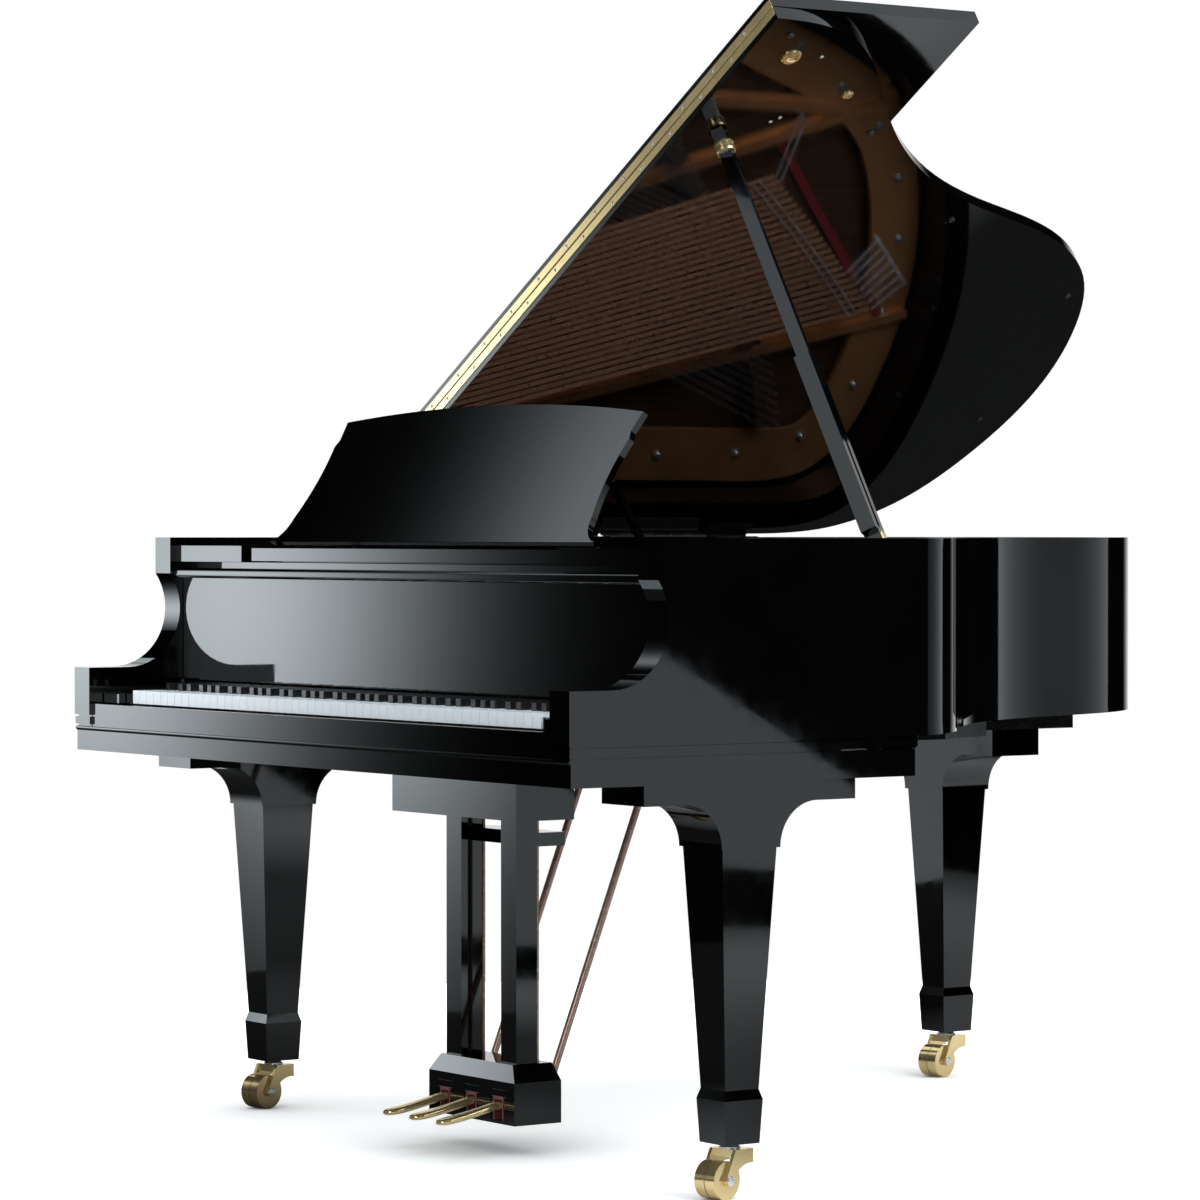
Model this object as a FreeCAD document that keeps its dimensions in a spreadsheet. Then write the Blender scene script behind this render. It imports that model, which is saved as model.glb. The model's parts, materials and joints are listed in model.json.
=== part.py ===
import FreeCAD, Part
import math
import operator
import os
from types import SimpleNamespace

import Sketcher
from FreeCAD import Placement, Rotation, Vector

# A grand piano with its lid propped open and the front flap folded back.
# X runs from bass to treble, Y from the arm fronts to the tail, Z up from the floor.

SIZES = {
    # whole case
    "case_length": 1780, "case_width": 1486, "rim_thickness": 51, "rim_bottom": 684, "rim_height": 300,
    "arm_rise": 80, "arm_drop": 19, "arm_rail_inset": 1, "seam_height": 3, "seam_depth": 4,
    "cheek_nose": 157, "cheek_round_centre": 76, "cheek_radius": 100, "overrun": 10,
    "seat_gap": 0.2, "run_gap": 0.3,
    # keybed, key slip and key blocks
    "keybed_thickness": 41, "keybed_front": 4, "keybed_inset": 2, "slip_front": 6, "slip_thickness": 20,
    "slip_height": 38, "block_height": 57, "block_side_gap": 4, "block_length": 140,
    # inner frame
    "soundboard_drop": 114, "frame_drop": 34, "inner_rim_thickness": 45, "soundboard_thickness": 8,
    "belly_thickness": 35, "post_width": 60, "post_height": 120, "rib_width": 24, "rib_height": 22,
    "bridge_width": 30, "bass_bridge_width": 28, "pin_block_height": 40,
    # cast plate
    "plate_rise": 14.3, "plate_thickness": 10, "plate_edge_gap": 8, "plate_border": 105,
    "skirt_width": 24, "bar_width": 34, "bar_rib_width": 16, "bar_rib_height": 13, "bar_clearance": 3,
    "ridge_depth": 8,
    # strings, pins, dampers
    "string_tail": 45, "string_rise": 22.7, "bass_rise": 15, "treble_string_radius": 0.6,
    "treble_string_spread": 2.4, "bass_string_radius": 1.4, "bass_string_spread": 2.4,
    "pin_radius": 3.2, "pin_height": 30, "damper_width": 10, "damper_height": 22, "wire_radius": 0.7,
    "damper_rail_rise": 105, "damper_rail_height": 12, "damper_rail_depth": 12,
    # keyboard and action
    "key_front": 40, "key_length": 400, "key_rise": 62, "key_height": 22, "key_gap": 1,
    "white_head_length": 50, "sharp_height": 12, "sharp_length": 95, "sharp_setback": 2.5,
    "balance_line": 255,
    "rail_depth": 30, "balance_drop": 4, "balance_ridge": 6, "front_rail_drop": 15, "frame_inset": 4.5,
    "stringer_width": 40, "stringer_height": 18, "action_post_width": 8, "action_post_gap": 3,
    "action_front": 300,
    "action_rail_rise": 115, "action_rail_height": 20, "action_post_depth": 140, "hammer_width": 9,
    "hammer_height": 66, "shank_width": 5,
    # fallboard
    "fallboard_front": 182, "fallboard_rise": 77, "fallboard_top_gap": 11, "fall_pivot_rise": 10,
    "fallboard_thickness": 22, "fallboard_side_gap": 2, "lip_depth": 18, "lip_height": 17,
    "lip_round": 6, "fall_pivot_y": 190, "fall_pin_radius": 5,
    # music shelf, its rails, desk and struts
    "shelf_front": 178, "shelf_drop": 39, "shelf_rail_drop": 41, "shelf_height": 21,
    "shelf_board": 15.7, "fascia_depth": 18, "shelf_rail_front": 168, "shelf_rail_gap": 14,
    "shelf_rail_height": 27, "ledge_width": 31, "ledge_height": 7, "ledge_front": 32,
    "desk_hinge_y": 240, "desk_lean": 32, "desk_thickness": 11, "desk_start": -1, "desk_waist": 44,
    "desk_top": 235, "desk_crown": 258, "desk_round": 48, "desk_side_round": 290,
    "desk_step_low": 186, "desk_step_high": 200,
    "strut_reach": 115, "strut_thickness": 8, "strut_end_radius": 4.02, "strut_width": 14,
    "neck_drop": 100, "neck_half": 50, "ankle": 163, "ankle_half": 31, "foot_top": 148,
    "foot_top_half": 35.5, "foot_bottom": 82, "foot_bottom_half": 32, "bracket_half": 54,
    "bracket_round": 68, "bracket_reach": 195,
    # casters
    "caster_trail": 28, "caster_heading": 282, "wheel_radius": 29, "wheel_width": 19, "wheel_gap": 1.5,
    "axle_radius": 5, "axle_gap": 0.08, "cheek_plate": 6, "cheek_gap": 0.5, "fork_plate_low": 62,
    "fork_plate": 12, "fork_back": 24, "fork_front": 15, "cheek_foot_half": 9, "cheek_foot_radius": 9.05,
    "cheek_low": 52, "cheek_hollow": 40, "stem_radius": 9,
    # pedal lyre
    "lyre_front": 337, "lyre_half": 102, "lyre_left": 267, "lyre_depth": 112, "lyre_block_drop": 92,
    "guide_drop": 41, "rod_rise": 18, "socket_rise": 33, "lyre_plate_height": 16,
    "lyre_plate_left": 400, "lyre_plate_right": 170, "post_x_width": 44, "post_y_depth": 40,
    "guide_height": 22, "guide_depth": 54, "box_half": 125, "box_front": 318, "box_depth": 90,
    "box_bottom": 50, "box_height": 68, "cove_height": 27, "cove_inset": 20, "slot_width": 44,
    "slot_low": 55, "slot_height": 50, "slot_depth": 84, "pedal_pitch": 78, "pedal_width": 30,
    "pedal_tip": 205, "pedal_tip_low": 56, "pedal_tip_radius": 7, "pedal_thickness": 12,
    "pedal_pivot_y": 345, "pedal_pivot_height": 80, "pedal_pin_radius": 3, "pedal_tail": 400,
    "pedal_bend": 300, "rod_y": 392, "rod_radius": 4, "rod_gap": 1.5, "rod_lift_gap": 0.8,
    "brace_x": 90, "brace_radius": 6, "brace_foot_height": 105, "lid_overhang": 7, "lid_gap": 4,
    "lid_thickness": 22, "lid_angle": 31.88, "fold_angle": 180, "flap_gap": 3.2, "fold_rise": 1,
    "leaf_thickness": 1.2, "leaf_margin": 1, "leaf_width": 13, "knuckle_radius": 1.2, "knuckle_gap": 0.5,
    "side_leaf": 1.5, "side_leaf_width": 40, "side_hinge_length": 110, "side_hinge_outset": 5,
    "barrel_radius": 3, "hinge_pin_radius": 1.2, "hinge_pin_gap": 0.06,
    # prop
    "prop_inset": 28, "prop_pivot_drop": 3, "prop_width": 50, "prop_thickness": 25,
    "prop_head_width": 21, "prop_wide_length": 330, "prop_heel": 9, "prop_heel_width": 24,
    "prop_shoulder": 10, "prop_slot_width": 13, "prop_slot_low": 18, "prop_slot_high": 260,
    "short_prop_thickness": 16, "short_pin_radius": 2.5, "short_pin_height": 34, "prop_pin_radius": 4,
    "pin_clearance": 0.1, "ear_thickness": 3, "ear_gap": 0.5, "ear_length": 17, "bracket_width": 20,
    "bracket_back": 10, "bracket_height": 44, "bracket_length": 70, "bracket_rise": 7,
    # the row's origin is under the middle of the open piano, beside the middle of the keyboard
    "origin_shift": 16,
}
# Shares of the case length, for what moves back as the case gets longer.
LENGTH_SHARES = {
    "arm_rail_length": 0.364607, "keybed_depth": 0.355056, "belly_front": 0.360674,
    "pin_block_front": 0.25, "pin_block_depth": 0.063483, "plate_front": 0.247191,
    "plate_opening_front": 0.31573, "string_front": 0.30618, "pin_field_front": 0.264045,
    "pin_row_pitch": 0.01236, "damper_front": 0.332584, "damper_length": 0.022472,
    "hammer_front": 0.31573, "hammer_length": 0.013483, "lid_front": 0.303371, "flap_depth": 0.230899,
    "prop_y": 0.348315, "leg_y": 0.193258, "rear_leg_y": 0.894944, "brace_head_y": 0.34382,
    "shelf_depth": 0.180899, "shelf_rail_length": 0.197753, "rib_first": 0.404494,
    "rib_pitch": 0.061798,
}
# Shares of the case width, for what spreads as the case gets wider.
WIDTH_SHARES = {
    "keyboard_width": 0.824361, "shelf_width": 0.615074, "desk_foot_half": 0.321669,
    "desk_waist_half": 0.294751, "desk_top_half": 0.289367, "desk_step_half": 0.28533,
    "strut_place": 0.282638, "leg_x": 0.446837, "rear_leg_x": -0.242261,
}
# Heights and places that follow from other sizes, as formulas of the sheet.
FOLLOWING_SIZES = {
    "rim_top": "rim_bottom + rim_height",
    "arm_bottom": "rim_bottom - arm_drop",
    "arm_top": "rim_bottom + arm_rise",
    "keybed_bottom": "arm_bottom - keybed_thickness",
    "frame_bottom": "rim_bottom - frame_drop",
    "soundboard_seat": "rim_top - soundboard_drop",
    "soundboard_top": "soundboard_seat + soundboard_thickness",
    "plate_bottom": "soundboard_top + plate_rise",
    "plate_top": "plate_bottom + plate_thickness",
    "treble_string_height": "plate_top + string_rise",
    "bass_string_height": "treble_string_height + bass_rise",
    "damper_rail_low": "arm_bottom + damper_rail_rise",
    "action_rail_low": "arm_bottom + action_rail_rise",
    "key_top": "arm_bottom + key_rise",
    "key_bottom": "key_top - key_height",
    "shelf_bottom": "rim_top - shelf_drop",
    "shelf_top": "shelf_bottom + shelf_height",
    "shelf_rail_bottom": "rim_top - shelf_rail_drop",
    "fallboard_bottom": "arm_bottom + fallboard_rise",
    "fallboard_height": "shelf_rail_bottom - fallboard_bottom - fallboard_top_gap",
    "fall_pivot_height": "fallboard_bottom + fall_pivot_rise",
    "leg_neck": "keybed_bottom - neck_drop",
    "lyre_block_low": "keybed_bottom - lyre_block_drop",
    "guide_low": "lyre_block_low - guide_drop",
    "rod_top": "lyre_block_low + rod_rise",
    "rod_socket_top": "lyre_block_low + socket_rise",
    "lid_bottom": "rim_top + lid_gap",
    "prop_x": "case_width / 2 - rim_thickness - prop_inset",
    "prop_pivot_height": "rim_top - prop_pivot_drop",
}

# The bent side and tail from the end of the treble straight to the start of the bass straight:
# share of the half width, share of the rim's length.
BENTSIDE_SHARES = (
    (1.0, 0.28), (1.0, 0.316), (0.993, 0.35), (0.972, 0.384), (0.875, 0.444), (0.727, 0.5),
    (0.592, 0.559), (0.471, 0.633), (0.384, 0.717),
    (0.323, 0.795), (0.258, 0.8545), (0.141, 0.9155), (-0.054, 0.9655), (-0.377, 1.0), (-0.6595, 0.9915),
    (-0.861, 0.9595), (-0.972, 0.903), (-0.993, 0.8665), (-1.0, 0.83), (-1.0, 0.79),
)
# Treble bridge, bass bridge and plate bars: shares of the half width and of the rim's length.
TREBLE_BRIDGE_SHARES = (
    (-0.754, 0.818), (-0.444, 0.75), (-0.135, 0.648), (0.135, 0.541), (0.404, 0.468),
    (0.606, 0.429), (0.808, 0.395),
)
BASS_BRIDGE_SHARES = ((-0.43, 0.879), (-0.242, 0.787), (-0.094, 0.707))
BAR_FRONT_SHARES = (-0.89, -0.421, 0.089, 0.471)
BAR_REAR_SHARES = (-0.421, 0.246, 0.1, 0.4)
POST_SHARES = (-0.673, -0.336, 0.0, 0.31)
# Strips of the half width where each group of notes starts and ends at the front of the strings.
BASS_NOTE_SHARES = (-0.816, -0.42)
TREBLE_NOTE_SHARES = ((-0.283, 0.074), (0.148, 0.438), (0.52, 0.808))
BASS_NOTES = 24
TREBLE_NOTES = (24, 20, 20)
DAMPED_TREBLE_NOTES = (24, 20, 4)
SIDE_HINGE_SHARES = (0.36, 0.55, 0.74)
NOTE_NAMES = ("c", "c_sharp", "d", "d_sharp", "e", "f", "f_sharp", "g", "g_sharp", "a", "a_sharp", "b")
WHITE_KEYS = 52
LOW_NOTES_LEFT_OUT = 9
KEY_COUNT = 88
OUTLINE_SAMPLES = 48

OPERATIONS = {"+": operator.add, "-": operator.sub, "*": operator.mul, "/": operator.truediv}


class Size:
    """A number that keeps its sheet expression beside its value."""

    def __init__(self, value, text):
        self.value = value
        self.text = text

    def __float__(self):
        return self.value

    def __neg__(self):
        return combine(0, "-", self)

    def __add__(self, other):
        return combine(self, "+", other)

    def __radd__(self, other):
        return combine(other, "+", self)

    def __sub__(self, other):
        return combine(self, "-", other)

    def __rsub__(self, other):
        return combine(other, "-", self)

    def __mul__(self, other):
        return combine(self, "*", other)

    def __rmul__(self, other):
        return combine(other, "*", self)

    def __truediv__(self, other):
        return combine(self, "/", other)


def as_size(number):
    return number if isinstance(number, Size) else Size(float(number), repr(float(number)))


def combine(left, sign, right):
    left = as_size(left)
    right = as_size(right)
    return Size(OPERATIONS[sign](left.value, right.value), f"({left.text} {sign} {right.text})")


doc = FreeCAD.newDocument("GrandPiano")
sheet = doc.addObject("Spreadsheet::Sheet", "Sizes")
cells = {name: str(value) for name, value in SIZES.items()}
cells.update({name: f"=case_length * {share}" for name, share in LENGTH_SHARES.items()})
cells.update({name: f"=case_width * {share}" for name, share in WIDTH_SHARES.items()})
cells.update({name: f"={formula}" for name, formula in FOLLOWING_SIZES.items()})
for row, (name, content) in enumerate(cells.items(), start=1):
    sheet.set(f"A{row}", name)
    sheet.setAlias(f"B{row}", name)
    sheet.set(f"B{row}", content)
doc.recompute()
# The same sizes twice: n holds plain numbers, s holds numbers that stay bound to the sheet.
n = SimpleNamespace(**{name: float(sheet.get(name)) for name in cells})
s = SimpleNamespace(**{name: Size(float(sheet.get(name)), f"Sizes.{name}") for name in cells})

front = -s.case_length / 2
half = s.case_width / 2
inner_half = half - s.rim_thickness
keyboard_half = s.keyboard_width / 2
front_y = float(front)
half_x = float(half)
rim_reach = n.case_length - n.lid_overhang
nodes = []


def node(piece):
    """Keep a finished sub-part for the hand-over."""
    nodes.append(piece)
    return piece


def feature(label, shape):
    piece = doc.addObject("Part::Feature", label)
    piece.Shape = shape
    return piece


def move(piece, x=0, y=0, z=0):
    for axis, place in zip("xyz", (x, y, z)):
        piece.setExpression(f".Placement.Base.{axis}", as_size(place).text)
    return piece


def board(label, low, high):
    """A box from its low corner to its high corner."""
    piece = doc.addObject("Part::Box", label)
    for name, start, end in zip(("Length", "Width", "Height"), low, high):
        piece.setExpression(name, (as_size(end) - start).text)
    return move(piece, *low)


def rod(label, radius, length, x, y, z, rotation=None):
    piece = doc.addObject("Part::Cylinder", label)
    piece.setExpression("Radius", radius.text)
    piece.setExpression("Height", as_size(length).text)
    if rotation is not None:
        piece.Placement = Placement(Vector(0, 0, 0), rotation)
    return move(piece, x, y, z)


def fused(label, pieces):
    piece = doc.addObject("Part::MultiFuse", label)
    piece.Shapes = pieces
    piece.Refine = True
    return piece


def cut(label, base, tools):
    tool = tools[0] if len(tools) == 1 else fused(f"{label}_tools", tools)
    piece = doc.addObject("Part::Cut", label)
    piece.Base = base
    piece.Tool = tool
    return piece


def group(label, pieces):
    piece = doc.addObject("Part::Compound", label)
    piece.Links = pieces
    return piece


ALONG_X = Rotation(Vector(0, 1, 0), 90)
ALONG_Y = Rotation(Vector(1, 0, 0), -90)


def arc_middle(start, end, radius):
    """The middle of an arc; a positive radius has its centre on the left of the way from start to end."""
    chord = end - start
    left = Vector(-chord.y, chord.x, 0).normalize()
    rise = abs(radius) - math.sqrt(radius ** 2 - (chord.Length / 2) ** 2)
    return (start + end) * 0.5 - left * math.copysign(rise, radius)


def sketch_on(body, role, outline, name, lift=None):
    """A closed outline of (u, v) corners; a third entry is the radius of the arc that arrives there."""
    sketch = body.newObject("Sketcher::SketchObject", name)
    plane = next(item for item in body.Origin.OriginFeatures if item.Role == role)
    sketch.AttachmentSupport = [(plane, "")]
    sketch.MapMode = "FlatFace"
    if lift is not None:
        sketch.setExpression(".AttachmentOffset.Base.z", as_size(lift).text)
    corners = [Vector(float(corner[0]), float(corner[1]), 0) for corner in outline]
    for i, start in enumerate(corners):
        end = corners[(i + 1) % len(corners)]
        arrival = outline[(i + 1) % len(outline)]
        if len(arrival) == 3:
            edge = Part.Arc(start, arc_middle(start, end, float(arrival[2])), end)
        else:
            edge = Part.LineSegment(start, end)
        sketch.addGeometry(edge, False)
    ends = []
    for i, start in enumerate(corners):
        starts_here = (sketch.getPoint(i, 1) - start).Length < n.seat_gap
        ends.append((1, 2) if starts_here else (2, 1))
    for i, corner in enumerate(outline):
        before = i - 1 if i else len(outline) - 1
        sketch.addConstraint(Sketcher.Constraint("Coincident", before, ends[before][1], i, ends[i][0]))
        for kind, place, axis in (("DistanceX", corner[0], -2), ("DistanceY", corner[1], -1)):
            if as_size(place).value == 0:
                sketch.addConstraint(Sketcher.Constraint("PointOnObject", i, ends[i][0], axis))
                continue
            number = sketch.addConstraint(
                Sketcher.Constraint(kind, -1, 1, i, ends[i][0], float(place)))
            sketch.setExpression(f"Constraints[{number}]", as_size(place).text)
        if len(corner) == 3:
            number = sketch.addConstraint(Sketcher.Constraint("Radius", before, abs(float(corner[2]))))
            radius = corner[2] if float(corner[2]) > 0 else -corner[2]
            sketch.setExpression(f"Constraints[{number}]", radius.text)
    return sketch


def pad(body, role, outline, length, name, lift=None):
    sketch = sketch_on(body, role, outline, f"{name}_sketch", lift)
    piece = body.newObject("PartDesign::Pad", name)
    piece.Profile = sketch
    piece.setExpression("Length", as_size(length).text)
    sketch.Visibility = False
    return piece


def plate(label, role, outline, length, lift=None):
    """A body padded from one outline."""
    body = doc.addObject("PartDesign::Body", label)
    pad(body, role, outline, length, f"{label}_pad", lift)
    return body


def rectangle(u_low, u_high, v_low, v_high):
    return [(u_low, v_low), (u_high, v_low), (u_high, v_high), (u_low, v_high)]


# Outlines that follow the bent side.
def share_points(shares):
    return [Vector(x * half_x, front_y + y * rim_reach, 0) for x, y in shares]


def smooth_line(points):
    line = Part.BSplineCurve()
    line.interpolate(points)
    return line


def along(line, share):
    return line.FirstParameter + (line.LastParameter - line.FirstParameter) * share


def shifted(line, distance):
    """A line beside a smooth line, to the right of its run."""
    moved = []
    for i in range(OUTLINE_SAMPLES + 1):
        place = along(line, i / OUTLINE_SAMPLES)
        run = line.tangent(place)[0]
        moved.append(line.value(place) + Vector(run.y, -run.x, 0) * distance)
    return smooth_line(moved)


def bent_side(grow):
    """The line of the bent side and tail, moved outwards or, below zero, inwards."""
    bend = smooth_line(share_points(BENTSIDE_SHARES))
    return shifted(bend, grow) if grow else bend


def rim_face(grow):
    """The plan of the case, grown outwards or, below zero, shrunk inwards."""
    bend = bent_side(grow)
    treble_front = Vector(half_x + grow, front_y - grow, 0)
    bass_front = Vector(-half_x - grow, front_y - grow, 0)
    edges = [
        Part.LineSegment(treble_front, bend.StartPoint).toShape(),
        bend.toShape(),
        Part.LineSegment(bend.EndPoint, bass_front).toShape(),
        Part.LineSegment(bass_front, treble_front).toShape(),
    ]
    return Part.Face(Part.Wire(edges))


def slab(face, bottom, top):
    lifted = face.copy()
    lifted.translate(Vector(0, 0, bottom))
    return lifted.extrude(Vector(0, 0, top - bottom))


def block(low, high):
    return Part.makeBox(*(end - start for start, end in zip(low, high)), Vector(*low))


def behind(shape, y):
    """The part of a shape behind a line across the case."""
    reach = n.case_length
    return shape.common(block((-reach, y, -reach), (reach, reach, 2 * reach)))


def add_outer_rim():
    top = n.rim_top
    low = n.arm_bottom
    inside = float(inner_half)
    shell = slab(rim_face(0), n.rim_bottom, top)
    hollow = slab(rim_face(-n.rim_thickness), n.rim_bottom - n.overrun, top + n.overrun)
    mouth = block(
        (-inside, front_y - n.overrun, n.rim_bottom - n.overrun),
        (inside, front_y + 2 * n.rim_thickness, top + n.overrun))
    rim = shell.cut(hollow).cut(mouth)
    rail_back = front_y + n.arm_rail_length
    # Each arm's lower rail, with a narrow seam above and below it.
    rails = []
    for step, lift in ((0, n.seam_height), (n.seam_depth, 0)):
        inset = n.arm_rail_inset + step
        bend = slab(rim_face(-inset), low + lift, n.rim_bottom - lift)
        for left, right in ((inside, half_x), (-half_x, -inside)):
            rail = block((left, front_y + step, low + lift), (right, rail_back, n.rim_bottom - lift))
            rails.append(rail.common(bend))
    rim = rim.fuse(rails)
    # The cheek's nose drops straight, then one round sweeps forward to the flat arm.
    nose = front_y + n.cheek_nose
    centre_y = front_y + n.cheek_round_centre
    centre_z = n.arm_top + n.cheek_radius
    rise = math.sqrt(n.cheek_radius ** 2 - (nose - centre_y) ** 2)
    before = front_y - n.overrun
    outline = [
        Vector(0, before, n.arm_top), Vector(0, centre_y, n.arm_top), Vector(0, nose, centre_z + rise),
        Vector(0, nose, top + n.overrun), Vector(0, before, top + n.overrun),
    ]
    sweep = Part.Arc(outline[1], Vector(0, centre_y + n.cheek_radius, centre_z), outline[2])
    edges = [Part.LineSegment(outline[0], outline[1]).toShape(), sweep.toShape()]
    edges += [Part.LineSegment(a, b).toShape() for a, b in zip(outline[2:], outline[3:] + outline[:1])]
    notch = Part.Face(Part.Wire(edges))
    notch.translate(Vector(-n.case_width, 0, 0))
    return node(feature("outer_rim", rim.cut(notch.extrude(Vector(2 * n.case_width, 0, 0))).removeSplitter()))


def add_inner_rim():
    start = front_y + n.belly_front + n.belly_thickness + n.seat_gap
    outer = slab(rim_face(-n.rim_thickness - n.seat_gap), n.rim_bottom, n.soundboard_seat)
    inner = slab(
        rim_face(-n.rim_thickness - n.inner_rim_thickness),
        n.rim_bottom - n.overrun, n.soundboard_seat + n.overrun)
    return node(feature("inner_rim", behind(outer.cut(inner), start)))


def add_back_posts():
    """The belly rail across the case and the posts that run from it to the inner rim."""
    inside = float(inner_half) - n.seat_gap
    rail_front = front_y + n.belly_front
    rail_back = rail_front + n.belly_thickness
    rail = block((-inside, rail_front, n.frame_bottom), (inside, rail_back, n.soundboard_seat))
    rail = rail.common(slab(rim_face(-n.rim_thickness - n.seat_gap), n.frame_bottom, n.soundboard_seat))
    room = slab(
        rim_face(-n.rim_thickness - n.inner_rim_thickness - n.seat_gap), n.frame_bottom,
        n.frame_bottom + n.post_height)
    pieces = [rail]
    for share in POST_SHARES:
        centre = share * half_x
        post = block(
            (centre - n.post_width / 2, rail_back + n.seat_gap, n.frame_bottom),
            (centre + n.post_width / 2, n.case_length, n.frame_bottom + n.post_height))
        pieces.append(post.common(room))
    return node(feature("back_posts", Part.makeCompound(pieces)))


def band(shares, width, bottom, top):
    """A strip of even width along a smooth line of shares."""
    middle = smooth_line(share_points(shares))
    right = shifted(middle, width / 2)
    left = shifted(middle, -width / 2)
    edges = [
        right.toShape(),
        Part.LineSegment(right.EndPoint, left.EndPoint).toShape(),
        left.toShape(),
        Part.LineSegment(left.StartPoint, right.StartPoint).toShape(),
    ]
    return slab(Part.Face(Part.Wire(edges)), bottom, top)


def bridge(shares, width, top):
    """A bridge on the soundboard, notched where the bars of the plate pass over it."""
    strip = band(shares, width, n.soundboard_top, top)
    for front_share, rear_share in zip(BAR_FRONT_SHARES, BAR_REAR_SHARES):
        strip = strip.cut(bar(
            front_share, rear_share, n.bar_width + 2 * n.bar_clearance, n.plate_bottom - n.bar_clearance,
            top + n.overrun))
    return strip


def add_soundboard():
    """The panel with its ribs below and its two bridges above, glued up as one assembly."""
    top = n.soundboard_top
    panel = slab(rim_face(-n.rim_thickness - n.seat_gap), n.soundboard_seat, top)
    pieces = [behind(panel, front_y + n.belly_front)]
    room = slab(
        rim_face(-n.rim_thickness - n.inner_rim_thickness - n.seat_gap), n.soundboard_seat - n.rib_height,
        n.soundboard_seat)
    rib_y = front_y + n.rib_first
    while rib_y < front_y + rim_reach - n.rim_thickness - n.inner_rim_thickness - n.rib_pitch:
        rib = block(
            (-n.case_width, rib_y, n.soundboard_seat - n.rib_height),
            (n.case_width, rib_y + n.rib_width, top))
        pieces.append(rib.common(room))
        rib_y += n.rib_pitch
    treble_top = n.treble_string_height - n.treble_string_radius - n.seat_gap
    bass_top = n.bass_string_height - n.bass_string_radius - n.seat_gap
    pieces.append(bridge(TREBLE_BRIDGE_SHARES, n.bridge_width, treble_top))
    pieces.append(bridge(BASS_BRIDGE_SHARES, n.bass_bridge_width, bass_top))
    return node(feature("soundboard", Part.makeCompound(pieces)))


def add_pin_block():
    inside = inner_half - s.seat_gap
    start = front + s.pin_block_front
    top = s.plate_bottom - s.seat_gap
    return node(board(
        "pin_block", (-inside, start, top - s.pin_block_height), (inside, start + s.pin_block_depth, top)))


def bar(front_share, rear_share, width, bottom, top):
    """A straight bar of the cast plate, from its front web to the tail."""
    start = Vector(front_share * half_x, front_y + n.plate_front, 0)
    end = Vector(rear_share * half_x, front_y + rim_reach, 0)
    side = Vector(end.y - start.y, start.x - end.x, 0).normalize() * (width / 2)
    corners = [start + side, end + side, end - side, start - side]
    return slab(Part.Face(Part.makePolygon(corners + corners[:1])), bottom, top)


def add_iron_plate():
    top = n.plate_top
    edge = -n.rim_thickness - n.plate_edge_gap
    face = rim_face(edge)
    low = n.plate_bottom - n.overrun
    high = top + n.overrun
    panel = behind(slab(face, n.plate_bottom, top), front_y + n.plate_front)
    opening = behind(slab(rim_face(edge - n.plate_border), low, high), front_y + n.plate_opening_front)
    bridge_room = []
    for shares, width in ((TREBLE_BRIDGE_SHARES, n.bridge_width), (BASS_BRIDGE_SHARES, n.bass_bridge_width)):
        room = width + 2 * n.bar_clearance
        bridge_room.append(band(shares, room, low - n.overrun, high))
        line = smooth_line(share_points(shares))
        for end in (line.StartPoint, line.EndPoint):
            corner = Vector(end.x, end.y, low - n.overrun)
            bridge_room.append(Part.makeCylinder(room / 2, high - low + n.overrun, corner))
    opening = opening.fuse(bridge_room)
    rib_top = top + n.bar_rib_height
    limits = behind(slab(face, n.plate_bottom, rib_top), front_y + n.plate_front)
    bars = []
    for front_share, rear_share in zip(BAR_FRONT_SHARES, BAR_REAR_SHARES):
        opening = opening.cut(bar(front_share, rear_share, n.bar_width, low, high))
        bars.append(bar(front_share, rear_share, n.bar_rib_width, top - n.seat_gap, rib_top).common(limits))
    # A ridge under the front of each group of strings carries them.
    ridges = (
        (BASS_NOTE_SHARES[0], BASS_NOTE_SHARES[1], n.bass_string_height - n.bass_string_radius),
        (TREBLE_NOTE_SHARES[0][0], TREBLE_NOTE_SHARES[-1][1],
         n.treble_string_height - n.treble_string_radius),
    )
    ridge_front = front_y + n.string_front
    for first, last, string_bottom in ridges:
        bars.append(block(
            (first * half_x, ridge_front, top - n.seat_gap),
            (last * half_x, ridge_front + n.ridge_depth, string_bottom - n.seat_gap)))
    skirt_low = n.soundboard_top + n.seat_gap
    skirt_inside = slab(rim_face(edge - n.skirt_width), low - n.overrun, high)
    skirt = slab(face, skirt_low, n.plate_bottom).cut([skirt_inside] + bridge_room)
    skirt = behind(skirt, front_y + n.belly_front + n.belly_thickness)
    return node(feature("iron_plate", panel.cut(opening).fuse([skirt] + bars).removeSplitter()))


def note_places(shares, count):
    """Evenly spread notes across a strip of the half width."""
    first, last = (share * half_x for share in shares)
    return [first + (last - first) * (i + 0.5) / count for i in range(count)]


bass_notes = note_places(BASS_NOTE_SHARES, BASS_NOTES)
treble_notes = [
    x for shares, count in zip(TREBLE_NOTE_SHARES, TREBLE_NOTES) for x in note_places(shares, count)]


def string_run(x, note, notes, bridge_shares, height):
    """The two ends of a string: at the front line, and a tail's length past its bridge."""
    line = smooth_line(share_points(bridge_shares))
    start = Vector(x, front_y + n.string_front, height)
    over = line.value(along(line, note / (notes - 1)))
    way = Vector(over.x - start.x, over.y - start.y, 0)
    end = start + way + Vector(way).normalize() * n.string_tail
    return start, end


def strings(label, notes, shares, height, radius, spread):
    wires = []
    for note, centre in enumerate(notes):
        start, end = string_run(centre, note, len(notes), shares, height)
        way = end - start
        for side in (-spread, spread):
            begin = start + Vector(side, 0, 0)
            wires.append(Part.makeCylinder(radius, way.Length, begin, way))
    return node(feature(label, Part.makeCompound(wires)))


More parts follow.
